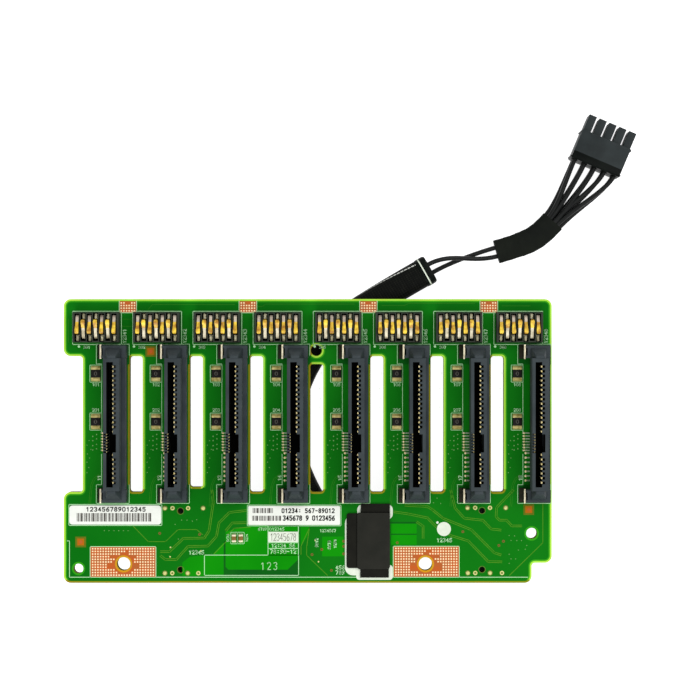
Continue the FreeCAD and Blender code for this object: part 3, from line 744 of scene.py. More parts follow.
def rimFinish(middle):
    # lime along the board's own outline and round each slot, but olive along its left and its foot
    x, y = middle.x / mm, middle.y / mm
    for holes, mark in ((joints["pegs"], 0), (board["guides"], 2)):
        if any(math.hypot(x - hx, y - hy) < board["holeReach"] for hx, hy in holes):
            return mark
    if y < board["foot"]:
        return 3
    notchX, notchLow, notchHigh = board["sideNotch"]
    cornerX, cornerY = board["cornerNotch"]
    if (abs(x) > board["outline"][0] or abs(y) > board["outline"][1]
            or x < notchX and notchLow < y < notchHigh or x > cornerX and y < cornerY):
        return 1
    halfPitch = board["bayPitch"] / 2
    fromSlot = (x - board["firstSlot"] + halfPitch) % board["bayPitch"] - halfPitch
    return 3 if fromSlot < board["slotLeft"] or y < board["slotFoot"] else 1


def makeBoard():
    mesh = nodeMesh("circuit_board")
    for level in (boardHigh.z, boardLow.z):
        flat = [f for f in mesh.faces if abs(f.calc_center_median().z - level) < tiny]
        for order, width in enumerate(board["rims"]):
            rim = bmesh.ops.inset_region(mesh, faces=flat, thickness=width * mm, use_boundary=True,
                                         use_even_offset=True)["faces"]
            for face in rim:
                mark = rimFinish(face.calc_center_median())
                face.material_index = mark if order == 0 else (2 if mark == 1 else 0)
    for face in mesh.faces:
        if abs(face.normal.z) < 0.5:
            face.material_index = 4
    finish("circuit_board_look", mesh, "board_green", "boardGreen", "rimLime", "rimFade", "rimOlive",
           "boardEdge", replaced="circuit_board", smooth=30)


# Copper areas show as brighter or darker green fields under the mask.
pours = {
    "bright": [
        [(-22.87, -31.6), (-22.87, -25.2), (-16.6, -23.7), (-10.9, -23.7), (-2.7, -23.7), (-2.7, -33.0),
         (-5.6, -35.8), (-22.1, -35.8), (-22.87, -35.0)],
        [(-34.9, -37.6), (-34.9, -33.8), (-32.8, -32.2), (-28.9, -31.8), (-26.6, -31.8), (-23.4, -28.2),
         (-23.4, -37.6)],
        [(23.2, -25.8), (23.2, -23.0), (30.3, -23.0), (30.3, -25.8)],
        [(23.2, -28.9), (23.2, -26.1), (30.3, -26.1), (30.3, -28.9)],
        [(4.0, -32.1), (4.0, -26.6), (9.9, -26.6), (9.9, -32.1)],
        [(-2.0, -23.8), (0.4, -23.8), (0.1, -26.3), (-1.9, -29.2)],
    ],
    "shade": [
        [(-23.4, -35.8), (-23.4, -28.2), (-22.87, -27.6), (-22.87, -35.0), (-22.1, -35.8), (-5.6, -35.8),
         (-2.7, -33.0), (-2.7, -37.3), (-23.4, -37.3)],
        [(23.0, -23.0), (23.0, -22.5), (30.4, -22.5), (30.4, -23.0)],
        [(23.2, -26.1), (23.2, -25.8), (30.3, -25.8), (30.3, -26.1)],
    ],
    "earTop": (21.3, 27.0), "earFoot": (-17.3, -12.2), "earSide": (0.0, 9.2),
}


def makePours():
    mesh = bmesh.new()
    for matIndex, kind in enumerate(("bright", "shade")):
        for outline in pours[kind]:
            addSlab(mesh, [outline], layer("skin"), matIndex)
    for bay in range(bayCount):
        sides = [bayX(bay) + u for u in pours["earSide"]]
        for yRange in (pours["earTop"], pours["earFoot"]):
            addBlock(mesh, sides, yRange, layer("skin"), 1)
    outward(mesh)
    finish("board_pours", mesh, "board_green", "boardPour", "boardShade")


# Signal lines: each is a route on the plan; pairs run side by side.
traces = {
    "width": 0.14, "faint": 0.12, "pairGap": 0.46,
    "pairs": [
        [(39.76, -13.63), (41.04, -18.74), (43.60, -21.51), (48.71, -22.04), (51.05, -24.49),
         (53.82, -24.81)],
        [(57.22, -13.63), (52.54, -18.53), (52.43, -21.09), (53.39, -22.04), (55.31, -22.04), (56.80, -23.64),
         (59.56, -23.64)],
        [(27.0, -17.9), (33.3, -18.25), (34.8, -19.2), (37.63, -21.51), (45.51, -24.70), (51.90, -31.09),
         (53.82, -31.73)],
        [(23.9, -19.7), (28.0, -20.3), (33.3, -21.4), (35.93, -24.07), (39.76, -26.30), (44.66, -27.79),
         (50.20, -33.54), (54.03, -33.65)],
        [(-26.66, -13.63), (-26.27, -16.95), (-27.44, -24.96), (-28.81, -27.01), (-34.6, -27.1),
         (-38.5, -30.8), (-41.0, -30.8)],
        [(-16.71, -19.29), (-21.78, -19.88), (-24.71, -22.81), (-25.39, -26.52), (-27.83, -29.25),
         (-33.3, -29.35), (-36.6, -33.0), (-39.6, -33.0), (-41.0, -31.9)],
        [(-16.51, -22.71), (-21.0, -22.81), (-22.76, -24.96)],
        [(30.3, -22.5), (32.1, -23.7), (32.1, -27.1)],
    ],
    "single": [
        [(65.42, -17.47), (65.42, -28.32), (56.16, -37.37)],
        [(-48.8, -23.46), (-44.4, -28.0), (-39.6, -28.0), (-36.1, -24.65), (-30.9, -24.65), (-29.2, -26.1)],
        [(0.47, -24.17), (-0.3, -29.5), (-0.3, -31.8), (5.5, -37.4)],
        [(0.47, -24.17), (-1.87, -29.25), (-1.87, -31.59)],
        [(-15.93, -23.98), (-20.42, -24.27), (-22.37, -26.13)],
        [(-22.76, -28.08), (-26.08, -31.40)],
    ],
    "faintRoutes": [
        [(-44.4, 36.6), (-43.2, 38.0), (-20.3, 38.0)],
        [(-19.0, 37.4), (-12.6, 37.4), (-11.8, 38.1), (13.0, 38.1)],
        [(20.6, 37.7), (27.0, 37.7), (28.0, 38.3), (46.5, 38.3)], [(54.0, 37.6), (62.0, 37.6)],
        [(-66.6, 34.0), (-66.6, 27.4)], [(-51.7, 33.9), (-48.9, 33.9)], [(-51.7, 31.9), (-48.9, 31.9)],
    ],
    # from each drive connector's signal feet, bending down and to the left
    "bayPair": [(0.9, -9.35), (-0.6, -10.6), (-1.35, -12.3), (-1.65, -15.0), (-1.9, -18.2)],
}


def offsetRoute(route, distance):
    # the same route moved aside, mitred at its bends
    moved = []
    for i, point in enumerate(route):
        here = Vector(point)
        runs = []
        if i:
            runs.append((here - Vector(route[i - 1])).normalized())
        if i + 1 < len(route):
            runs.append((Vector(route[i + 1]) - here).normalized())
        normals = [Vector((-r.y, r.x)) for r in runs]
        miter = (normals[0] + normals[-1]).normalized()
        moved.append(here + miter * distance / max(miter.dot(normals[0]), 0.4))
    return moved


def addRoutes(mesh, routes, width, matIndex, offsets=(0.0,)):
    for route in routes:
        for aside in offsets:
            line = offsetRoute(route, aside) if aside else route
            for a, b in zip(line, line[1:]):
                addStrip(mesh, a, b, width, layer("trace"), matIndex, past=width * 0.35)


def makeTraces():
    mesh = bmesh.new()
    sides = [side * traces["pairGap"] / 2 for side in (-1, 1)]
    bayRoutes = [[(bayX(bay) + u, y) for u, y in traces["bayPair"]] for bay in range(bayCount)]
    addRoutes(mesh, traces["pairs"], traces["width"], 0, sides)
    addRoutes(mesh, traces["single"], traces["width"], 0)
    addRoutes(mesh, bayRoutes, traces["faint"], 1, sides)
    addRoutes(mesh, traces["faintRoutes"], traces["faint"], 1)
    outward(mesh)
    finish("board_traces", mesh, "board_green", "traceGreen", "traceShade")


# Bare copper pads, some with a grid of solder dots.
pads = {
    "hatched": [((-60.48, -42.31), (-37.87, -29.45)), ((23.85, 42.09), (-37.79, -29.35))],
    "small": [((-52.4, -47.7), (35.75, 38.9)), ((-19.05, -14.25), (35.75, 38.9)),
              ((14.5, 19.25), (35.75, 38.9)), ((48.0, 52.8), (35.75, 38.9))],
    "pitch": 0.735, "dot": 0.4, "margin": 0.42, "frame": 0.17,
    "mountHoles": [(-51.24, -34.2), (32.76, -34.2)], "holeRadius": 1.86, "ringOuter": 2.4,
    "squares": [(-43.67, 24.93), (-63.18, -28.10), (61.5, -19.09)],
    "squareLayers": ((2.95, "pad", 3), (1.9, "silk", 4)), "squareSpot": 0.5,
    # where a mount hole keeps its copper free of dots: a radius, and ranges of x and y, from its middle
    "bareRadius": 2.95, "bare": [(-3.75, 3.75, 1.55, 2.5), (-4.3, 4.3, -1.6, 0.25), (0.4, 1.4, 3.2, 3.9)],
}


def clearOfHole(x, y):
    # no dots stand close round a mount hole, nor in three bars beside it
    for hx, hy in pads["mountHoles"]:
        dx, dy = x - hx, y - hy
        inBar = any(left < dx < right and low < dy < high for left, right, low, high in pads["bare"])
        if inBar or math.hypot(dx, dy) < pads["bareRadius"]:
            return False
    return True


def dotRow(ends):
    # the evenly spaced places of the dots between two ends
    count = int((ends[1] - ends[0] - 2 * pads["margin"]) / pads["pitch"]) + 1
    first = (ends[0] + ends[1] - (count - 1) * pads["pitch"]) / 2
    return [first + i * pads["pitch"] for i in range(count)]


def around(x, y, width, height=None):
    # the ranges of a rectangle about a point
    return [(middle - size / 2, middle + size / 2) for middle, size in ((x, width), (y, height or width))]


def makePads():
    mesh = bmesh.new()
    for xRange, yRange in pads["hatched"] + pads["small"]:
        upper = yRange[0] > 0
        outlines = [corners(xRange, yRange)]
        for hx, hy in pads["mountHoles"]:
            if xRange[0] < hx < xRange[1] and not upper:
                turns = [2 * math.pi * i / 32 for i in range(32)]
                radius = pads["holeRadius"]
                outlines.append([(hx + radius * math.cos(t), hy + radius * math.sin(t)) for t in turns])
        addSlab(mesh, outlines, layer("pad"))
        columns, rows = dotRow(xRange), dotRow(yRange)
        for i, x in enumerate(columns):
            for j, y in enumerate(rows):
                bare = upper and j == len(rows) - 1 and 1 < i < len(columns) - 2
                if clearOfHole(x, y) and not bare:
                    addBlock(mesh, *around(x, y, pads["dot"]), layer("paste"), 1)
    for place in pads["mountHoles"]:
        addRing(mesh, place, pads["holeRadius"], pads["ringOuter"], layer("paste"), 2)
    for x, y in pads["squares"]:
        for size, name, mat in pads["squareLayers"]:
            addBlock(mesh, *around(x, y, size), layer(name), mat)
        addDisc(mesh, (x, y), pads["squareSpot"], layer("paste"))
    outward(mesh)
    finish("board_pads", mesh, "contact_gold", "padCopper", "padPaste", "ringGold", "padBrown", "padCentre")


joints = {
    "pegs": [(-35.41, -19.50), (-35.41, -35.84), (48.51, -19.34), (48.51, -35.75)],
    "pegRing": (0.86, 0.98), "domeRing": (0.45, 0.72), "dome": (0.54, 0.26), "ring": (0.3, 0.6),
    "ringHole": 0.34, "rustRing": (0.16, 0.38), "paleSpot": 0.22, "via": 0.17, "speck": 0.12,
    "domes": [(-39.75, -18.70), (-29.12, -18.70), (-33.40, -36.78), (-39.75, -36.78),
              (44.48, -18.59), (55.11, -18.59), (44.56, -36.73), (50.74, -36.73)],
    "rings": [(-37.63, -18.70), (-33.29, -18.70), (-37.69, -36.78), (-30.43, -36.78),
              (46.59, -18.59), (50.71, -18.59), (46.62, -36.73), (54.05, -36.73)],
    "rust": [(43.17, -25.24), (54.45, -27.90), (53.18, -29.07), (-41.2, -25.7), (10.0, -27.9), (10.0, -29.3),
             (10.0, -31.4), (6.6, -36.0), (3.9, -30.2), (1.2, -31.6), (-30.1, -26.0), (24.9, -28.3)],
    "pale": [(-38.2, -29.6), (-38.3, -32.2), (2.1, -27.6), (3.0, -33.6), (-29.7, -30.6)],
    "faint": [(56.05, -26.30), (57.54, -26.41), (56.58, -27.69), (58.18, -27.69), (59.46, -27.69),
              (60.95, -29.07), (60.52, -30.13), (58.61, -30.35), (56.05, -31.52), (56.58, -32.80),
              (57.86, -32.80), (56.05, -34.07), (-32.1, -22.3), (-30.9, -21.9), (-36.0, -27.3),
              (-35.1, -22.0), (-33.6, -22.0), (-36.9, -23.2), (-56.6, -24.95), (-55.3, -24.95),
              (-53.9, -24.95), (-52.6, -24.95), (-51.3, -24.95), (-50.0, -24.95), (36.0, -15.9),
              (35.0, -17.2), (33.6, -15.8), (37.0, -17.4)],
    "bayVias": [(-1.0, 1.3), (-1.0, 0.1), (-1.0, -1.3), (-1.0, -2.5), (0.06, 1.81), (0.06, 0.61),
                (0.06, -0.95), (0.06, -2.17)],
    "bayDots": [(-2.0, 0.1), (-2.6, -1.15), (-1.5, -2.35), (-2.5, -3.6), (-1.9, -4.75), (-2.6, -5.9),
                (-2.1, -7.4), (-2.6, -8.8), (-4.6, 11.8), (-4.9, 14.6), (-4.4, 18.9), (-5.0, 9.4)],
}


def makeJoints():
    # soldered pins, plated vias and the pegs' black holes, seen from above
    mesh = bmesh.new()
    for place in joints["pegs"]:
        addRing(mesh, place, *joints["pegRing"], layer("trace"), 2)
    for place in joints["domes"]:
        addRing(mesh, place, *joints["domeRing"], layer("trace"), 2, segments=16)
        addDome(mesh, place, *joints["dome"])
    for place in joints["rings"]:
        addRing(mesh, place, *joints["ring"], layer("pad"), segments=16)
        addDisc(mesh, place, joints["ringHole"], layer("trace"), 2, segments=12)
    for place in joints["rust"]:
        addRing(mesh, place, *joints["rustRing"], layer("pad"), 1, segments=12)
    specks = list(joints["faint"])
    for bay in range(bayCount):
        specks += [(bayX(bay) + u, y) for u, y in joints["bayDots"]]
        for u, y in joints["bayVias"]:
            addDisc(mesh, (bayX(bay) + u, y), joints["via"], layer("pad"), 3, segments=8)
    for place in specks:
        addDisc(mesh, place, joints["speck"], layer("pad"), 3, segments=8)
    for place in joints["pale"]:
        addDisc(mesh, place, joints["paleSpot"], layer("pad"), segments=10)
    outward(mesh)
    finish("board_joints", mesh, "solder", "solderCream", "viaRust", "viaOlive", "viaPale", smooth=50)


# Plain digits as strokes in a unit box.
strokes = {
    "0": [[(0, 0.18), (0, 0.82), (0.25, 1), (0.75, 1), (1, 0.82), (1, 0.18), (0.75, 0), (0.25, 0),
           (0, 0.18)]],
    "1": [[(0.2, 0.78), (0.6, 1), (0.6, 0)]],
    "2": [[(0, 0.82), (0.25, 1), (0.75, 1), (1, 0.8), (1, 0.6), (0, 0), (1, 0)]],
    "3": [[(0, 0.9), (0.3, 1), (0.75, 1), (1, 0.76), (0.5, 0.54), (1, 0.3), (0.75, 0), (0.3, 0), (0, 0.1)]],
    "4": [[(0.7, 0), (0.7, 1), (0, 0.3), (1, 0.3)]],
    "5": [[(0.95, 1), (0.08, 1), (0.04, 0.56), (0.7, 0.6), (1, 0.36), (0.78, 0), (0.2, 0), (0, 0.12)]],
    "6": [[(0.9, 1), (0.4, 0.86), (0, 0.4), (0.2, 0), (0.8, 0), (1, 0.26), (0.8, 0.54), (0.05, 0.48)]],
    "7": [[(0, 1), (1, 1), (0.35, 0)]],
    "8": [[(0.25, 0.53), (0.04, 0.78), (0.3, 1), (0.7, 1), (0.96, 0.78), (0.75, 0.53), (0.25, 0.53),
           (0, 0.26), (0.25, 0), (0.75, 0), (1, 0.26), (0.75, 0.53)]],
    "9": [[(0.1, 0), (0.6, 0.14), (1, 0.6), (0.8, 1), (0.2, 1), (0, 0.74), (0.2, 0.46), (0.95, 0.52)]],
    "-": [[(0.1, 0.5), (0.9, 0.5)]],
    ":": [[(0.35, 0.72), (0.65, 0.72)], [(0.35, 0.22), (0.65, 0.22)]],
    " ": [],
}


def addDigits(mesh, text, middle, height, turn=0.0, line=0.14, ratio=0.62, gap=0.42, matIndex=0, zRange=None):
    # a row of stroke digits centred on a point of the board
    width = height * ratio
    pitch = width * (1 + gap)
    start = -((len(text) - 1) * pitch + width) / 2
    turned = Matrix.Rotation(math.radians(turn), 2)
    for i, letter in enumerate(text):
        for stroke in strokes[letter]:
            spots = [turned @ Vector((start + i * pitch + u * width, (v - 0.5) * height)) for u, v in stroke]
            for ends in zip(spots, spots[1:]):
                addStrip(mesh, *[(middle[0] + p.x, middle[1] + p.y) for p in ends], line,
                         zRange or layer("silk"), matIndex, past=line * 0.4)


silk = {
    "line": 0.17, "thin": 0.14,
    "frames": [((-28.75, -2.55), (-37.4, -31.75)), ((-11.05, -2.6), (-31.75, -23.65)),
               ((-66.45, -40.6), (-23.5, -17.67)), ((-16.8, 9.25), (-23.6, -17.85))],
    "lines": [((-66.4, -37.9), (61.3, -37.9)), ((-66.3, -37.9), (-66.3, -27.8)),
              ((-67.0, -27.8), (-66.3, -27.8)), ((-11.05, -28.3), (-2.6, -28.3)),
              ((-11.05, -29.9), (-2.6, -29.9))],
    "padMargin": 0.06, "chipPlaces": (-20.5, -18.6), "chipFrame": (1.84, (-28.6, -25.4), 0.13),
    "patch": ((-11.0, -2.65), (-28.15, -25.25)), "patchDigits": ((-6.85, -26.75), 1.9, 0, 0.13, 0.34, 0.42),
    # digits, their middle, height, turn and line, and for some their width and gap as shares
    "digits": [("123", (-10.77, -34.8), 2.0, 0, 0.17, 0.45, 0.98), ("12:34 56", (-6.85, -29.1), 0.95, 0, 0.2),
               ("78:90-12", (-6.85, -30.75), 1.05, 0, 0.2), ("012345", (-8.6, -24.5), 0.8),
               ("6789", (-12.6, -24.5), 0.7), ("12345", (-31.0, -31.0), 1.0, 0, 0.2),
               ("1234", (-17.0, -27.0), 0.62, 90), ("5678", (-22.2, -27.0), 0.62, 90),
               ("1234567", (5.6, -24.95), 0.75, 0, 0.16), ("1234", (7.6, -28.6), 0.7, 90, 0.2),
               ("5678", (6.0, -28.9), 0.7, 90, 0.2), ("9012", (2.5, -28.3), 0.7, 90, 0.2),
               ("456", (9.0, -35.2), 1.0, 0, 0.2), ("789", (9.0, -36.6), 1.0, 0, 0.2),
               ("12345", (38.0, -27.6), 1.0, 0, 0.2)],
    "tapePatch": [((10.36, 15.5), (-37.4, -20.6), 2.2), ((13.48, 23.66), (-38.64, -34.5), 0.9),
                  ((13.77, 23.66), (-21.76, -17.67), 1.4)],
    "tapeStep": 0.01,          # each tape patch lies this much over the one before
    "discs": [((37.9, -24.5), 1.95, 40), ((36.1, -22.7), 0.35, 14)],
}


def makeSilk():
    mesh = bmesh.new()
    low, high = zRange = layer("silk")
    for frameRanges in silk["frames"]:
        addFrame(mesh, *frameRanges, silk["line"], zRange)
    for ends in silk["lines"]:
        addStrip(mesh, *ends, silk["line"], zRange)
    for ranges in pads["hatched"] + pads["small"]:
        grown = [(a - silk["padMargin"], b + silk["padMargin"]) for a, b in ranges]
        addFrame(mesh, *grown, pads["frame"], zRange, "lrb" if ranges[1][0] > 0 else "lrt")
    addBlock(mesh, *silk["patch"], zRange, 1)
    addDigits(mesh, "12345678", *silk["patchDigits"], 2, layer("paste"))
    for order, (xRange, yRange, corner) in enumerate(silk["tapePatch"]):
        addSlab(mesh, [roundedOutline(xRange, yRange, corner)], (low, high + silk["tapeStep"] * order), 1)
    for middle, radius, segments in silk["discs"]:
        addDisc(mesh, middle, radius, zRange, 1, segments)
    for row in silk["digits"]:
        addDigits(mesh, *row)
    width, yRange, line = silk["chipFrame"]
    for x in silk["chipPlaces"]:
        addFrame(mesh, (x - width / 2, x + width / 2), yRange, line, zRange)
    outward(mesh)
    finish("board_print", mesh, "label_white", "silkWhite", "silkPatch", "printGrey")


# Places from each bay's left silk line.
baySilk = {
    "ears": ((0.0, 9.15), (21.43, 26.95), (-17.36, -12.16)), "earFoot": 23.8,
    "spine": 1.45, "spineRuns": ((-12.16, -3.6), (2.4, 21.43)),
    "spring": ((-6.62, 6.98), (26.85, 36.1)),
    "dots": (-4.84,) + (-6.27,) * 7, "dotY": 26.3, "dotRadius": 0.34,
    "resistor": (-0.14, (18.75, 5.4), (3.3, 4.75)),
    # the first bay's number, its place, height, turn and line
    "numbers": [(101, -0.14, 15.7, 0.8, 0, 0.16), (201, -0.14, 8.63, 0.8, 0, 0.16),
                (12341, 7.85, 29.15, 0.92, 90, 0.21), (11, 0.75, -10.3, 0.85, 90, 0.22)],
    "dotNumber": (301, 2.2, 26.1, 0.7, 0, 0.19),       # its place counts from the dot
}


def makeBayPrint():
    # outlines and plain numbers that repeat at every bay
    mesh = bmesh.new()
    zRange = layer("silk")
    line = silk["thin"]
    across, upper, lower = baySilk["ears"]
    springSides, springEnds = baySilk["spring"]
    offset, frameRows, size = baySilk["resistor"]
    for bay in range(bayCount):
        x = bayX(bay)
        spine, sides = x + baySilk["spine"], [x + u for u in across]
        addFrame(mesh, sides, upper, line, zRange, "lt")
        addStrip(mesh, (sides[1], baySilk["earFoot"]), (sides[1], upper[1]), line, zRange)
        addFrame(mesh, sides, lower, line, zRange, "lrb")
        for low, high in baySilk["spineRuns"]:
            addStrip(mesh, (spine, low), (spine, high), line, zRange)
        for y in (upper[0], lower[1]):
            addStrip(mesh, (x, y), (spine, y), line, zRange)
        addFrame(mesh, [x + u for u in springSides], springEnds, silk["line"], zRange)
        dot = x + baySilk["dots"][bay]
        addDisc(mesh, (dot, baySilk["dotY"]), baySilk["dotRadius"], zRange, segments=14)
        for y in frameRows:
            addFrame(mesh, *around(x + offset, y, *size), line, zRange)
        rows = [(x, row) for row in baySilk["numbers"]] + [(dot, baySilk["dotNumber"])]
        for start, (first, u, y, *form) in rows:
            addDigits(mesh, str(first + bay), (start + u, y), *form)
    outward(mesh)
    finish("bay_print", mesh, "label_white", "silkWhite")


for make in (makeBoard, makePours, makeTraces, makePads, makeJoints, makeSilk, makeBayPrint):
    make()
print("circuit board made")


# Drive connectors: u runs right from a bay's left silk line, v up from the connector's middle.
drive = {
    "rimSides": (3.1, 7.6), "rimHeights": (3.2, 8.5), "rimHalf": 18.2,
    "cavitySides": (4.02, 5.82), "cavityHalf": 17.1,
    "notchRight": 6.6, "notchWidth": 0.72, "combLeft": 3.22, "combWidth": 0.45,
    "pitch": 1.27, "finePitch": 0.8, "powerCount": 15, "signalCount": 7,
    "portRight": 6.68, "keyHalf": 0.7,
    "baseSides": (3.9, 8.6), "baseHeights": (0.3, 4.0), "floor": (1.6, 2.2), "floorInset": 0.1,
    "endSides": (1.9, 8.75), "endLengths": (18.2, 21.7), "endHeight": 4.0,
    "pocket": (0.45, 2.0), "nose": (2.9, 0.8, 1.1), "overlap": (0.05, 0.1),
    "wallInset": 0.01, "soften": 0.14, "baseSoften": 0.08, "noseSoften": 0.18,
}


def contactPlaces():
    power = [(12.5 - i) * drive["pitch"] for i in range(drive["powerCount"])]
    signal = [(i - 12.5) * drive["pitch"] for i in range(drive["signalCount"])]
    middle = (power[-1] + signal[-1]) / 2
    fine = [middle + (i - 3) * drive["finePitch"] for i in range(drive["signalCount"])]
    return power, signal, fine


def wallBay(points, edge, depth, middle, width, goingUp):
    # a square bay in a wall that runs along v
    low, high = middle - width / 2, middle + width / 2
    ends = (low, high) if goingUp else (high, low)
    points += [(edge, ends[0]), (depth, ends[0]), (depth, ends[1]), (edge, ends[1])]


def cavityOutline():
    power, signal, fine = contactPlaces()
    left, right = drive["cavitySides"]
    half = drive["cavityHalf"]
    points = [(left, -half)]
    for v in fine:
        wallBay(points, left, drive["combLeft"], v, drive["combWidth"], True)
    points += [(left, half), (right, half)]
    for v in power[:-1]:
        wallBay(points, right, drive["notchRight"], v, drive["notchWidth"], False)
    port = (power[-1] - drive["keyHalf"] + signal[-1] + drive["keyHalf"]) / 2
    wallBay(points, right, drive["portRight"], port, power[-1] - signal[-1] - 2 * drive["keyHalf"], False)
    for v in reversed(signal[:-1]):
        wallBay(points, right, drive["notchRight"], v, drive["notchWidth"], False)
    points.append((right, -half))
    return points


def makePlate(outlines, zRange):
    mesh = bmesh.new()
    addSlab(mesh, outlines, zRange)
    outward(mesh)
    dissolveFlats(mesh)
    return mesh


def paintShadeInside(mesh, xRange, yRange, inset):
    # painted shade: the upright faces within the outer walls take the second finish, near black
    for face in mesh.faces:
        middle = face.calc_center_median() / mm
        inner = all(low + inset < value < high - inset
                    for value, (low, high) in zip(middle, (xRange, yRange)))
        if abs(face.normal.z) < 0.5 and inner:
            face.material_index = 1


def driveMesh():
    # the housing at the first bay's own origin; every bay takes a copy
    half, (left, right) = drive["rimHalf"], drive["rimSides"]
    length = (-half, half)
    mesh = makePlate([corners((left, right), length), cavityOutline()], drive["rimHeights"])
    paintShadeInside(mesh, (left, right), length, drive["wallInset"])
    top = levels(drive["rimHeights"])[1]
    softenEdges(mesh, drive["soften"], angle=60,
                only=lambda e: all(v.co.z > top - tiny for v in e.verts)
                and all(min(abs(v.co.x - left * mm), abs(v.co.x - right * mm)) < tiny for v in e.verts))
    (baseLeft, baseRight), (low, high) = drive["baseSides"], drive["baseHeights"]
    notch = drive["notchRight"]
    # painted shade: the cavity floor takes the near-black second finish, and the flange the third, a
    # painted-shade copy of the grey
    blocks = [((baseLeft, drive["cavitySides"][0]), length, (low, drive["rimHeights"][0]), 0),
              ((notch, baseRight), length, (low, high), 2),
              ((left + drive["floorInset"], notch), length, drive["floor"], 1)]
    blocks += [((baseLeft, notch), (side * drive["cavityHalf"], side * half), (low, high), 0)
               for side in (-1, 1)]
    for block in blocks:
        work = bmesh.new()
        addBlock(work, *block)
        softenEdges(work, drive["baseSoften"], segments=1)
        joinInto(mesh, work)
    for side in (-1, 1):
        joinInto(mesh, endBlock(side))
        joinInto(mesh, noseBlock(side))
    return mesh


def endBlock(side):
    left, right = drive["endSides"]
    low, high = sorted(side * v for v in drive["endLengths"])
    depth, length = drive["pocket"]
    pocketLow, pocketHigh = ((low + high - length) / 2, (low + high + length) / 2)
    outline = corners((left, right), (low, high)) + [(left, pocketHigh), (left + depth, pocketHigh),
                                                     (left + depth, pocketLow), (left, pocketLow)]
    work = makePlate([outline], (0, drive["endHeight"]))
    softenEdges(work, drive["soften"], angle=60)
    return work


def noseBlock(side):
    # tapers up from the end block to the rim's own height
    work = bmesh.new()
    long, short, inset = drive["nose"]
    left, right = drive["rimSides"]
    overEnd, overHeight = drive["overlap"]
    start = drive["rimHalf"] - overEnd
    heights = (drive["endHeight"] - overHeight, drive["rimHeights"][1])
    verts = addBlock(work, (left, right), (side * start, side * (start + long)), heights)
    for v in verts:
        if v.co.z > levels(heights)[1] - tiny:
            middle = (left + right) / 2 * mm
            v.co.x = middle + (v.co.x - middle) * (1 - inset * 2 / (right - left))
            if abs(v.co.y) > (start + long / 2) * mm:
                v.co.y = side * (start + short) * mm
    softenEdges(work, drive["noseSoften"])
    return work


def ribbon(mesh, points, widths, thickness, matAt=None):
    # a bent metal strip; points run along it as (x, y, z) in metres, widths lie across x
    verts = [mesh.verts.new((x - width * mm / 2, y, z)) for (x, y, z), width in zip(points, widths)]
    edges = [mesh.edges.new((a, b)) for a, b in zip(verts, verts[1:])]
    made = bmesh.ops.extrude_edge_only(mesh, edges=edges)["geom"]
    for v in made:
        if isinstance(v, bmesh.types.BMVert):
            nearest = min(range(len(points)), key=lambda i: (Vector(points[i][1:]) - v.co.yz).length)
            v.co.x += widths[nearest] * mm
    faces = [g for g in made if isinstance(g, bmesh.types.BMFace)]
    bmesh.ops.recalc_face_normals(mesh, faces=faces)
    for face in faces:
        face.material_index = matAt(face.calc_center_median()) if matAt else 0
    bmesh.ops.solidify(mesh, geom=faces, thickness=thickness * mm)


contact = {
    "width": 0.5, "thickness": 0.16,
    # side view of a contact: out of its notch, a bulge into the cavity, and a tip bent back
    "profile": [(5.9, 2.2), (5.88, 4.6), (5.8, 6.0), (5.62, 6.9), (5.54, 7.35), (5.6, 7.8), (5.84, 8.05)],
    "fineProfile": [(3.95, 7.5), (3.72, 7.3), (3.62, 6.8), (3.6, 3.2), (3.5, 1.1), (3.2, 0.55), (2.7, 0.3),
                    (2.4, 0.12), (1.25, 0.12)],
    "fineWidth": 0.34, "fineThickness": 0.14, "solderAndShadeBelow": 1.5,
    "foot": (1.85, 4.1), "footWidth": 0.42, "footHeight": 0.2,
    "dome": (2.2, 0.36, 0.34), "fineDome": (1.75, 0.3, 0.26),
}


def contactMesh():
    mesh = bmesh.new()
    power, signal, fine = contactPlaces()

    def bend(v, profile, width, thickness, matAt=None):
        points = [(v * mm, u * mm, boardTop + z * mm) for u, z in profile]
        ribbon(mesh, points, [width] * len(points), thickness, matAt)

    for v in power + signal:
        bend(v, contact["profile"], contact["width"], contact["thickness"])
    for v in fine:
        bend(v, contact["fineProfile"], contact["fineWidth"], contact["fineThickness"],
             lambda c: 1 if c.z < boardTop + contact["solderAndShadeBelow"] * mm else 0)
    half = contact["footWidth"] / 2
    for v in signal:
        addBlock(mesh, (v - half, v + half), contact["foot"], (0, contact["footHeight"]), 1)
    # the strips were bent along y with their width on x, so x and y change places for the whole set
    bmesh.ops.transform(mesh, matrix=Matrix(((0, 1, 0, 0), (1, 0, 0, 0), (0, 0, 1, 0), (0, 0, 0, 1))),
                        verts=mesh.verts)
    for places, (u, radius, height), segments in ((signal, contact["dome"], 10),
                                                  (fine, contact["fineDome"], 8)):
        for v in places:
            addDome(mesh, (u, v), radius, height, 1, segments)
    bmesh.ops.recalc_face_normals(mesh, faces=mesh.faces)
    return mesh


def bayCopies(name, mesh, origin, slotName, replaced, *mats, smooth=35):
    # one piece per bay, each with its place in its own mesh
    first = plainMesh(name, mesh, *mats)
    for bay in range(bayCount):
        shape = first.copy()
        shape.transform(Matrix.Translation((*at(bayX(bay) + origin[0], origin[1]), 0)))
        settle(linked("%s_%d" % (name, bay + 1), shape), "%s_%d" % (replaced, bay + 1), smooth)


driveOrigin = (0.0, board["driveMiddle"])
housing = driveMesh()
outward(housing)
bayCopies("drive_housing", housing, driveOrigin, "connector_grey", "drive_connector", "connectorGrey",
          "paintedShadeBlack", "connectorShade")
bayCopies("drive_leaves", contactMesh(), driveOrigin, "contact_gold", "drive_contacts", "contactGold",
          "solderPale")
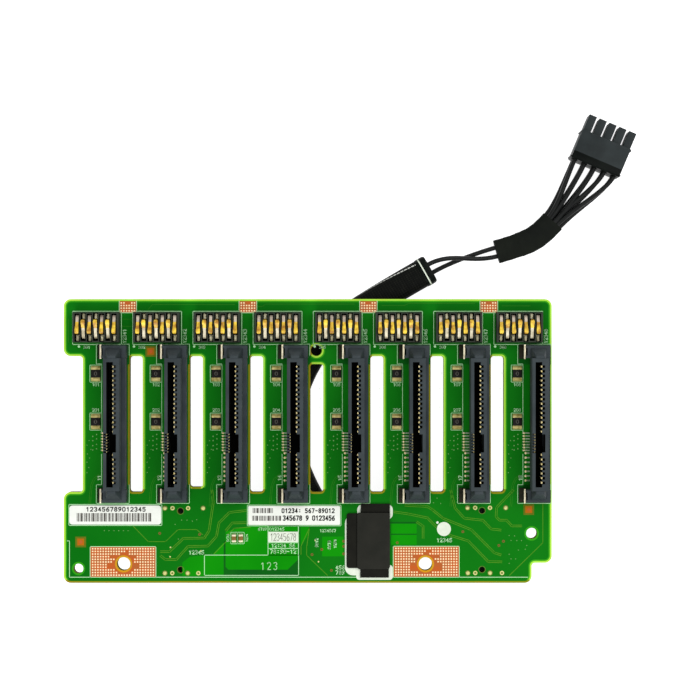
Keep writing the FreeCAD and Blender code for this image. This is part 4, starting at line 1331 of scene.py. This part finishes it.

# Hold-downs: the upright plates are bright; their feet and the low part of each plate take tin in painted
# shade.
holdDown = {"soften": 0.08, "solderAndShadeBelow": 2.4}
mesh = nodeMesh("hold_down_tabs")
softenEdges(mesh, holdDown["soften"])
for face in mesh.faces:
    if face.calc_center_median().z < boardTop + holdDown["solderAndShadeBelow"] * mm:
        face.material_index = 1
finish("hold_down_tabs_look", mesh, "tinned_metal", "tinBright", "tinShade", replaced="hold_down_tabs",
       smooth=35)
print("drive connectors made")


# Spring connectors along the top edge: seven leaves that lean alternately up and down.
spring = {
    "offset": 0.28, "middle": 31.6, "length": 12.8, "width": 8.4, "height": 3.4,
    "count": 7, "pitch": 1.7, "slotWidth": 1.32, "endWalls": (0.25, 0.45),
    "downShift": 0.3,          # the leaves that lean down sit this much further up
    # a leaf from its foot, round the back bend, up to the dome and down its tip
    "profile": [(3.75, 1.76), (2.4, 1.72), (-2.6, 1.7), (-3.0, 1.85), (-3.15, 2.3), (-3.0, 2.75), (-2.3, 3.1),
                (-1.2, 3.4), (-0.2, 3.75), (0.5, 4.08), (1.0, 4.36), (1.4, 4.5), (1.8, 4.36), (2.1, 3.95)],
    "widths": [0.9, 0.9, 0.9, 0.85, 0.82, 0.82, 0.82, 0.8, 0.84, 0.96, 1.06, 1.1, 1.04, 0.8],
    "thickness": 0.18, "goldFrom": (-0.5, -1.1), "lowBelow": 1.9, "brightFrom": 2.0,
    "floor": (-0.02, 1.45), "floorInset": 0.1, "wallInset": 0.05, "soften": 0.1,
    "foot": (2.35, 3.85, 0.8, 2.4), "footSoften": 0.2,
}


def springPlaces():
    return [((i - 3) * spring["pitch"], -1 if i % 2 == 0 else 1) for i in range(spring["count"])]


def springMesh():
    length, width = spring["length"] / 2, spring["width"] / 2
    sides = [(-length, length), (-width, width)]
    outlines = [corners(*sides)]
    for x, side in springPlaces():
        first, last = (width - wall for wall in spring["endWalls"])
        half = spring["slotWidth"] / 2
        outlines.append(corners((x - half, x + half), sorted((side * first, -side * last))))
    heights = (0, spring["height"])
    mesh, top = makePlate(outlines, heights), levels(heights)[1]
    softenEdges(mesh, spring["soften"], angle=60, only=lambda e: all(v.co.z > top - tiny for v in e.verts))
    paintShadeInside(mesh, *sides, spring["wallInset"])
    # painted shade: a near-black floor slab under the slots
    bottom = bmesh.new()
    inset = spring["floorInset"]
    addBlock(bottom, (inset - length, length - inset), (inset - width, width - inset), spring["floor"], 1)
    joinInto(mesh, bottom)
    return mesh


def leafMesh():
    # gold over the dome, tinned stem, and a soldered foot under the dome's end. Painted light and shade:
    # up-leaning stems take a lit copy of the tin, down-leaning stems a shaded copy, and low parts short of
    # the foot tin in painted shade
    mesh = bmesh.new()
    near, far, width, high = spring["foot"]
    for x, side in springPlaces():
        up = side > 0
        shift = 0.0 if up else spring["downShift"]
        goldFrom = spring["goldFrom"][0 if up else 1]

        def leafFinish(c):
            along = side * (c.y / mm - shift)
            # low down, short of the solder foot: tin in painted shade
            if c.z < boardTop + spring["lowBelow"] * mm:
                return 3 if along > spring["brightFrom"] else 4
            # past the gold, the stem: a lit copy for up-leaning leaves, a painted-shade copy for down-leaning
            # ones
            return 0 if along > goldFrom else (1 if up else 2)

        points = [(x * mm, (side * r + shift) * mm, boardTop + z * mm) for r, z in spring["profile"]]
        leaf = bmesh.new()
        ribbon(leaf, points, spring["widths"], spring["thickness"], leafFinish)
        bmesh.ops.recalc_face_normals(leaf, faces=leaf.faces)
        joinInto(mesh, leaf)
        foot = bmesh.new()
        addBlock(foot, (x - width / 2, x + width / 2), (side * near, side * far),
                 (spring["floor"][1], high), 3)
        softenEdges(foot, spring["footSoften"])
        joinInto(mesh, foot)
    return mesh


springOrigin = (spring["offset"], spring["middle"])
bayCopies("spring_housing", springMesh(), springOrigin, "connector_black", "spring_connector", "springBlack",
          "paintedShadeBlack")
bayCopies("spring_leaves", leafMesh(), springOrigin, "contact_gold", "spring_contacts", "springGold",
          "stemLit", "stemShaded", "solderTail", "tinShade", smooth=60)
print("spring connectors made")


# Chip parts. The capacitors and their terminals are spread sideways, as solder runs up their sides.
chip = {"x": -0.14, "rows": (18.75, 5.4), "top": 0.6, "number": 0.9, "print": (-0.01, 0.02),
        "spread": 1.35, "between": -19.55}
refined("chip_resistors", "resistor_black", "chipBlack", 0.06)
refined("resistor_terminals", "solder", "chipEnd", 0.1)
for piece in (refined("chip_capacitors", "capacitor_tan", "chipBrown", 0.06),
              refined("capacitor_terminals", "solder", "tinBright", 0.08)):
    left, right = silk["chipPlaces"]
    for v in piece.data.vertices:
        middle = (left if v.co.x < chip["between"] * mm else right) * mm
        v.co.x = middle + (v.co.x - middle) * chip["spread"]

mesh = bmesh.new()
printed = [chip["top"] + z for z in chip["print"]]
for bay in range(bayCount):
    for y in chip["rows"]:
        addDigits(mesh, "0", (bayX(bay) + chip["x"], y), chip["number"], 0, 0.2, 0.7, zRange=printed)
outward(mesh)
finish("chip_numbers", mesh, "label_white", "printGrey")


# Paper labels with plain digits and plain stripes. Digits as for the board's print.
labels = {
    "thickness": 0.12, "print": (-0.01, 0.015), "sink": -0.01,
    # widths of the stripes and of the gaps between them, each list repeating
    "stripes": (0.14, 0.3, 0.18, 0.55, 0.2, 0.16, 0.36), "gaps": (0.14, 0.22, 0.12, 0.3, 0.13),
    "lastStripe": 0.45,
    "label_left": (((-66.3, -40.8), (-23.25, -17.95), 0.8), [((-64.25, -43.5), (-22.4, -20.05))],
                   [("123456789012345", (-53.4, -19.0), 1.05, 0, 0.26, 0.66, 0.62)]),
    "label_middle": (((-16.55, 9.0), (-23.35, -18.1), 0.3),
                     [((-15.3, -9.3), (-20.05, -18.66)), ((-15.45, -7.0), (-22.2, -20.8))],
                     [("01234: 567-89012", (0.1, -19.4), 1.1, 0, 0.27, 0.5, 0.69),
                      ("345678 9 0123456", (0.3, -21.45), 1.2, 0, 0.3, 0.48, 0.58)]),
}


def makeLabel(name):
    paper, bars, digits = labels[name]
    mesh = bmesh.new()
    addSlab(mesh, [roundedOutline(*paper)], (labels["sink"], labels["thickness"]))
    printed = [labels["thickness"] + z for z in labels["print"]]
    for (left, right), yRange in bars:
        # plain stripes of a few widths, with no code in them
        x, i = left, 0
        while x < right - labels["lastStripe"]:
            width = labels["stripes"][i % len(labels["stripes"])]
            addBlock(mesh, (x, x + width), yRange, printed, 2)
            x += width + labels["gaps"][i % len(labels["gaps"])]
            i += 1
    for row in digits:
        addDigits(mesh, *row, 1, printed)
    outward(mesh)
    finish(name + "_look", mesh, "label_white", "labelPaper", "inkBlack", "barGrey", replaced=name)


makeLabel("label_left")
makeLabel("label_middle")
print("chips and labels made")


# Cover tape: the middle's left edge and its range of y, and each crease by its two ends.
tape = {"main": (13.75, (-35.6, -19.9)), "corner": 0.7, "soften": 0.16, "cornerReach": 0.1,
        "crease": 0.24, "creaseTop": 0.48,
        "creases": [((13.75, -35.2), (13.75, -20.2)), ((14.85, -35.6), (22.45, -35.6)),
                    ((14.85, -19.9), (22.65, -19.9))]}


def makeTape():
    # the middle lies over a left fold and two tabs; the fold and tabs take a darker copy of the tape, and
    # each fold a near-black crease strip, both painted shade
    mesh = nodeMesh("cover_tape")
    left = min(v.co.x for v in mesh.verts)

    def outerCorner(edge):
        a, b = (v.co for v in edge.verts)
        return a.x < left + tape["cornerReach"] * mm and (a.xy - b.xy).length < tiny

    softenEdges(mesh, tape["corner"], angle=60, segments=4, only=outerCorner)
    softenEdges(mesh, tape["soften"], segments=3)
    mainLeft, (mainLow, mainHigh) = tape["main"]
    # painted shade: the fold and tabs take the darker copy
    for face in mesh.faces:
        middle = face.calc_center_median() / mm
        if middle.x < mainLeft or not mainLow < middle.y < mainHigh:
            face.material_index = 1
    # painted shade along each fold
    for ends in tape["creases"]:
        addStrip(mesh, *ends, tape["crease"], (0, tape["creaseTop"]), 2)
    outward(mesh)
    finish("cover_tape_look", mesh, "tape_black", "tapeBlack", "tapeShade", "paintedShadeBlack",
           replaced="cover_tape", smooth=35)


makeTape()
print("cover tape made")


# Parts behind the board.
for side in ("left", "right"):
    refined("data_shell_" + side, "shell_steel", "shellSteel", 0.08, segments=1)
    refined("data_insulator_" + side, "connector_black", "springBlack", 0.12)
    refined("data_contacts_" + side, "contact_gold", "contactGold", 0.03, segments=1)
refined("power_header", "connector_black", "plugBlack", 0.15)
refined("power_header_pins", "tinned_metal", "tinBright", 0.08, segments=1)
refined("board_plug", "plug_black", "plugBlack", 0.15)
print("rear parts made")
